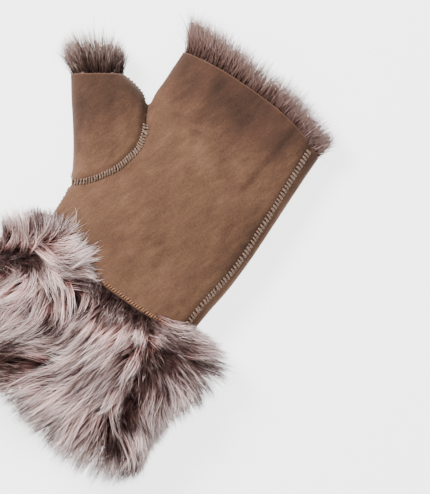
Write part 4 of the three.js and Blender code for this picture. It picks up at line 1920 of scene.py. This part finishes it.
@dataclass
class Cuff:
    """The cuff: its skin, and long fur that lies over it in locks and swirls."""

    skins: Sequence[Dressed]
    ground: HeightField | None = None
    field_of_fur: FurField = FurField(FUR_LIES)
    top_locks: int = 705
    side_locks: int = 220
    under_locks: int = 120
    steps: int = 9
    length: float = 34.0
    corner: tuple[float, float] = (46.0, -105.0)  # x and y past which the corners by the wrist lie
    corner_length: float = 1.3  # times as long, at those corners
    root_lift: float = 40.0
    tip_lift: float = 3.0
    seam_share: float = 0.13  # of the locks, low ones along the wrist seam
    seam_band: float = 0.07
    mouth_share: float = 0.12  # of the locks, long ones round the mouth
    coat: Coat = Coat(
        hairs=27,
        lock_radius=5.0,
        wisp_radius=1.6,
        wisps=5,
        gather=0.38,
        loose=0.9,
        root_width=0.34,
        tip_width=0.1,
    )
    hair: Hair = Hair(
        "Long tipped sheep's fur",
        dark=((0.0, "#020101"), (0.35, "#0b0403"), (0.7, "#260f0e"), (1.0, "#502d2b")),
        light=((0.0, "#2a1513"), (0.22, "#996861"), (0.47, "#f2c8c1"), (1.0, "#fff6f3")),
        roughness=0.33,
    )
    short_coat: Coat = Coat(
        hairs=10,
        lock_radius=3.0,
        wisp_radius=1.6,
        wisps=3,
        gather=0.2,
        loose=1.0,
        root_width=0.5,
        points=4,
        streaks=0.05,
        speckle=0.06,
    )
    short_locks: int = 380
    short_length: float = 13.0
    short_band: float = 0.12
    pieces_of_fur: int = 4
    tone: float = 0.31
    uneven: float = 0.18
    patch_tone: float = 0.68
    patch_wave: float = 15.0
    stray_reach: float = 2.5  # how far past the outline a hair may end, about
    over_suede: float = -64.0  # past this y the hair lies over the hand, and ends more raggedly
    over_half: float = 50.0
    over_times: float = 3.0
    hollow_depth: float = 9.0
    soft_top: float = 48.0  # the height past which the hair is held down
    top_room: float = 6.0

    def pelt(self) -> bpy.types.Object:
        """The skin under the fur, a closed wall that is open at the wrist and at the mouth.

        Returns:
            The piece.
        """
        made = PELT.shell(np.linspace(0.0, 1.0, 24), 72)
        bmesh.ops.scale(made, vec=(MM, MM, MM), verts=made.verts)
        bmesh.ops.recalc_face_normals(made, faces=made.faces)
        mesh = mesh_of(made, "cuff_pelt")
        blank = new_object("cuff_pelt", mesh)
        wall = blank.modifiers.new("Wall", "SOLIDIFY")
        wall.thickness = SKIN * MM
        wall.offset = -1.0
        wall.material_offset = wall.material_offset_rim = 1
        mesh.materials.append(Underfur("Sheepskin underfur", "#150c0c", "#3a2827").material())
        mesh.materials.append(CutEdge("Sheepskin's skin side", light="#7a5b47").material())
        solid = with_modifiers(blank, "cuff_pelt")
        soften(solid)
        return new_object("cuff_pelt", solid)

    def locks(self, rng: np.random.Generator) -> tuple[Array, Array, Array]:
        """Where the locks are rooted.

        Args:
            rng: Where the random numbers come from.

        Returns:
            The station and angle of each lock, and whether it is on the underside.
        """
        top = rng.uniform(0.12, 0.88, self.top_locks) * math.pi
        sides = rng.uniform(-0.16, 0.14, self.side_locks) * math.pi
        sides = np.where(rng.random(self.side_locks) < 0.5, sides, math.pi - sides)
        under = math.pi + rng.uniform(0.14, 0.86, self.under_locks) * math.pi
        angle = np.concatenate([top, sides, under])
        station = rng.uniform(0.0, 1.0, len(angle)) ** 0.8
        chance = rng.random(len(angle))
        station = np.where(chance < self.seam_share, rng.uniform(0.0, self.seam_band, len(angle)), station)
        station = np.where(chance > 1 - self.mouth_share, rng.uniform(0.88, 1.0, len(angle)), station)
        below = np.concatenate([np.zeros(self.top_locks + self.side_locks), np.ones(self.under_locks)]) > 0
        return station, angle, below

    def guides(self, rng: np.random.Generator) -> tuple[Array, Array, Array]:
        """The path, the root's normal and the tone of each lock.

        Args:
            rng: Where the random numbers come from.

        Returns:
            Paths by lock and point, normals by lock and tones by lock.
        """
        station, angle, below = self.locks(rng)
        roots = PELT.surface(station, angle)
        normals = PELT.normals(station, angle)
        count = len(roots)
        hollow = np.clip(spots_at(HOLLOWS, roots[:, 0], roots[:, 1]), 0, 1) * (~below)
        keep = rng.random(count) > 0.2 * hollow
        roots, normals, below, hollow = roots[keep], normals[keep], below[keep], hollow[keep]
        count = len(roots)
        mouth = np.clip((station[keep] - 0.55) / 0.45, 0, 1)
        seam = station[keep] < self.seam_band
        reach = self.length * rng.uniform(0.78, 1.2, count) * np.where(below, 0.7, 1.0) * (1 - 0.35 * hollow)
        corner = (np.abs(roots[:, 0]) > self.corner[0]) & (roots[:, 1] > self.corner[1])
        reach = reach * (1 + mouth) * np.where(seam, 0.7, 1.0) * np.where(corner, self.corner_length, 1.0)
        lift = np.radians(self.root_lift) * rng.uniform(0.7, 1.15, count) * np.where(below, 0.35, 1.0)
        lift = lift * np.where(seam, 0.5, 1.0)
        tip = np.radians(self.tip_lift - 22 * mouth + rng.normal(size=count) * 6)
        jitter = np.radians(rng.normal(size=count) * 8)
        curl = np.radians(rng.normal(size=count) * 16)
        plain = FurField(())
        here = roots.copy()
        path = [here]
        for step in range(self.steps):
            share = (step + 0.5) / self.steps
            ways = np.where(below[:, None], plain.ways(here[:, :2]), self.field_of_fur.ways(here[:, :2]))
            turn = jitter + curl * share
            ways = np.stack(
                [
                    ways[:, 0] * np.cos(turn) - ways[:, 1] * np.sin(turn),
                    ways[:, 0] * np.sin(turn) + ways[:, 1] * np.cos(turn),
                    np.zeros(count),
                ],
                axis=1,
            )
            rise = lift * (1 - share) ** 1.6 + tip * share
            ahead = unit(ways * np.cos(rise)[:, None] + normals * np.sin(rise)[:, None])
            here = here + ahead * (reach / self.steps)[:, None]
            path.append(here)
        tone = self.tone + rng.normal(size=count) * self.uneven
        tone = tone + self.patch_tone * rough(roots, self.patch_wave, 5.5)
        return np.stack(path, axis=1), normals, tone

    def build(self) -> list[Dressed]:
        """The pelt and the pieces of fur.

        Returns:
            The pieces.
        """
        rng = np.random.default_rng(SEED + 2)
        pelt = self.pelt()
        self.ground = HeightField.over([skin.piece.data for skin in self.skins] + [pelt.data])
        guides, normals, tone = self.guides(rng)
        strands = self.coat.grown(guides, normals, tone, rng)
        lost = self.cut_back(strands, rng)
        self.paint(strands)
        self.clear(strands, np.repeat(normals[:, 2] > UNDERSIDE, self.coat.hairs))
        strands = strands.without(lost)
        finish = self.hair.material()
        pieces = [Dressed(pelt, "fur", ("cuff_fur",)), self.short_fur(finish, rng)]
        parts = np.array_split(np.arange(len(strands.paths)), self.pieces_of_fur)
        for number, part in enumerate(parts, start=1):
            some = Strands(strands.paths[part], strands.radii[part], strands.tones[part])
            pieces.append(dressed_strands(some, f"cuff_fur_{number}", finish, "fur"))
        return pieces

    def short_fur(self, finish: bpy.types.Material, rng: np.random.Generator) -> Dressed:
        """Short dark fur that fills the hollows and the band under the wrist seam, painted darker still in
        the hollows as shade.

        Args:
            finish: The hair's material.
            rng: Where the random numbers come from.

        Returns:
            The piece.
        """
        station = rng.uniform(0.0, 1.0, 14 * self.short_locks)
        angle = rng.uniform(0.04, 0.96, len(station)) * math.pi
        roots = PELT.surface(station, angle)
        by_seam = station < self.short_band
        need = spots_at(HOLLOWS, roots[:, 0], roots[:, 1]) + 0.8 * by_seam + 0.05
        chosen = np.argsort(rng.random(len(need)) / np.maximum(need, 1e-3))[: self.short_locks]
        roots, normals = roots[chosen], PELT.normals(station, angle)[chosen]
        ways = self.field_of_fur.ways(roots[:, :2])
        ways = np.concatenate([ways, np.zeros((len(ways), 1))], axis=1)
        ways = ways + rng.normal(size=(len(ways), 3)) * 0.15
        rise = np.linspace(0, 1, 5)[None, :, None] * self.short_length
        rise = rise * rng.uniform(0.7, 1.2, (len(roots), 1, 1))
        lift = 0.55 * normals * (1 - 0.35 * by_seam[chosen])[:, None]
        guides = roots[:, None] + rise * unit(ways + lift)[:, None]
        hollow = np.clip(spots_at(HOLLOWS, roots[:, 0], roots[:, 1]), 0, 1)
        # painted shade: darker in the hollows
        tone = 0.15 - 0.5 * hollow + rng.normal(size=len(roots)) * 0.1
        strands = self.short_coat.grown(guides, normals, tone, rng)
        lost = self.cut_back(strands, rng)
        self.clear(strands, np.ones(len(strands.paths), dtype=bool))
        return dressed_strands(strands.without(lost), "cuff_short_fur", finish, "fur")

    def paint(self, strands: Strands) -> None:
        """Presses the hair into the hollows and paints it darker there as shade, and makes it lighter or
        darker along the streaks, partly painted highlights and painted shade.

        Args:
            strands: The hairs, which are changed.
        """
        points = strands.paths
        hollow = np.clip(spots_at(HOLLOWS, points[..., 0], points[..., 1]), 0, 1.2)
        points[..., 2] -= self.hollow_depth * hollow
        # painted light: streaks add painted highlights and shade, and the hollows are painted dark as shade
        strands.tones += 1.2 * streaks_at(points) - 1.1 * hollow

    def cut_back(self, strands: Strands, rng: np.random.Generator) -> Array:
        """Shortens the hairs that run past the fur's outline, all but a little of their ends.

        Args:
            strands: The hairs.
            rng: Where the random numbers come from.

        Returns:
            Which hairs are rooted past the outline and should go.
        """
        points = strands.paths
        fine = 24
        share = np.linspace(0, 1, fine)
        length = points.shape[1]

        def read(share_of_path: Array) -> Array:
            """Reads the hairs between their points.

            Args:
                share_of_path: Shares of each hair's path.

            Returns:
                The points there, by hair and share.
            """
            place = np.clip(share_of_path, 0, 1) * (length - 1)
            low = np.minimum(place.astype(int), length - 2)
            part = (place - low)[..., None]
            row = np.arange(len(points))[:, None]
            return points[row, low] * (1 - part) + points[row, low + 1] * part

        out = ~inside(read(np.broadcast_to(share, (len(points), fine))), FUR_OUTLINE)
        first = np.where(out.any(axis=1), out.argmax(axis=1) / (fine - 1), 1.0)
        size = np.linalg.norm(np.diff(points, axis=1), axis=2).sum(axis=1)
        ends = points[:, -1]
        over = (ends[:, 1] > self.over_suede) & (np.abs(ends[:, 0]) < self.over_half)
        reach = np.where(over, self.over_times, 1.0) * self.stray_reach
        extra = np.minimum(rng.exponential(reach), 3 * reach) / size
        limit = np.clip(first + extra, 0.12, 1.0)
        strands.paths = read(np.linspace(0, 1, length)[None] * limit[:, None])
        return first < 0.08

    def clear(self, strands: Strands, upper: Array) -> None:
        """Lifts the hairs off the skins, and keeps all of them above the surface and in the cuff's room.

        Args:
            strands: The hairs, which are changed.
            upper: Which hairs grow on the upper side.
        """
        points = strands.paths
        share = np.linspace(0, 1, points.shape[1])
        over = self.ground.at(points) + 0.8 * share[None]
        points[..., 2] = np.where(upper[:, None], np.maximum(points[..., 2], over), points[..., 2])
        points[..., 2] = eased(points[..., 2], self.soft_top, self.top_room)
        points[..., 2] = np.maximum(points[..., 2], TABLE_GAP)


# The studio


@dataclass
class Studio:
    """A pale floor, soft light and a camera that looks straight down, turned as the photograph is."""

    middle: tuple[float, float, float] = (34.6, -13.5, 15.0)
    roll: float = math.radians(35.4)
    distance: float = 1500.0
    view_height: float = 306.3

    def build(self) -> None:
        """Sets the floor, the lights and the camera."""
        made = bmesh.new()
        bmesh.ops.create_grid(made, x_segments=1, y_segments=1, size=4.0)
        mesh = mesh_of(made, "floor")
        material, tree = new_material("Pale studio paper")
        sockets = {"Base Color": linear("#a8a7a6"), "Roughness": 0.9}
        sockets |= {"Emission Color": (1.0, 1.0, 1.0, 1.0), "Emission Strength": 3.0}
        shader = add_node(tree, "BsdfPrincipled", sockets)
        add_node(tree, "OutputMaterial", {"Surface": shader.outputs[0]})
        mesh.materials.append(material)
        new_object("floor", mesh)
        self.light("key", (-0.75, 0.8, 1.15), 0.5, 100.0)
        self.light("fill", (1.0, -0.1, 1.1), 1.2, 13.0)
        self.light("rim", (-0.1, -1.0, 0.9), 0.9, 9.0)
        world = bpy.data.worlds.new("Soft white room")
        world.use_nodes = True
        world.node_tree.nodes.clear()
        back = add_node(world.node_tree, "Background", {"Color": (1.0, 1.0, 1.0, 1.0), "Strength": 0.42})
        add_node(world.node_tree, "OutputWorld", {"Surface": back.outputs[0]})
        bpy.context.scene.world = world
        self.camera()

    def light(self, name: str, place: tuple[float, float, float], size: float, power: float) -> None:
        """Adds a square soft light that looks at the mitten.

        Args:
            name: Its name.
            place: Where it stands, in metres and in the picture's own directions.
            size: Its side in metres.
            power: Its power in watts.
        """
        lamp = bpy.data.lights.new(name, "AREA")
        lamp.energy = power
        lamp.size = size
        holder = bpy.data.objects.new(name, lamp)
        bpy.context.scene.collection.objects.link(holder)
        holder.location = Matrix.Rotation(self.roll, 3, "Z") @ Vector(place)
        look = Vector(self.middle) * MM - holder.location
        holder.rotation_euler = look.to_track_quat("-Z", "Y").to_euler()

    def camera(self) -> None:
        """A long lens straight above, so that the sides stay upright as they do in the photograph."""
        eye = bpy.data.cameras.new("camera")
        eye.sensor_fit = "VERTICAL"
        eye.sensor_height = 24.0
        eye.lens = eye.sensor_height * self.distance / self.view_height
        eye.clip_end = 50.0
        holder = bpy.data.objects.new("camera", eye)
        bpy.context.scene.collection.objects.link(holder)
        x, y, z = self.middle
        holder.location = Vector((x, y, z + self.distance)) * MM
        holder.rotation_euler = (0.0, 0.0, self.roll)
        bpy.context.scene.camera = holder


def main() -> None:
    """Builds the mitten's pieces and the studio."""
    logging.basicConfig(level=logging.INFO, format="%(name)s: %(message)s")
    leather = Leather()
    skins = leather.build()
    pieces = list(skins)
    pieces += Seams(leather).build()
    pieces += Wool(leather.tree).build()
    pieces += Cuff(skins).build()
    for made in pieces:
        made.declare()
    Studio().build()


if __name__ == "__main__":
    main()
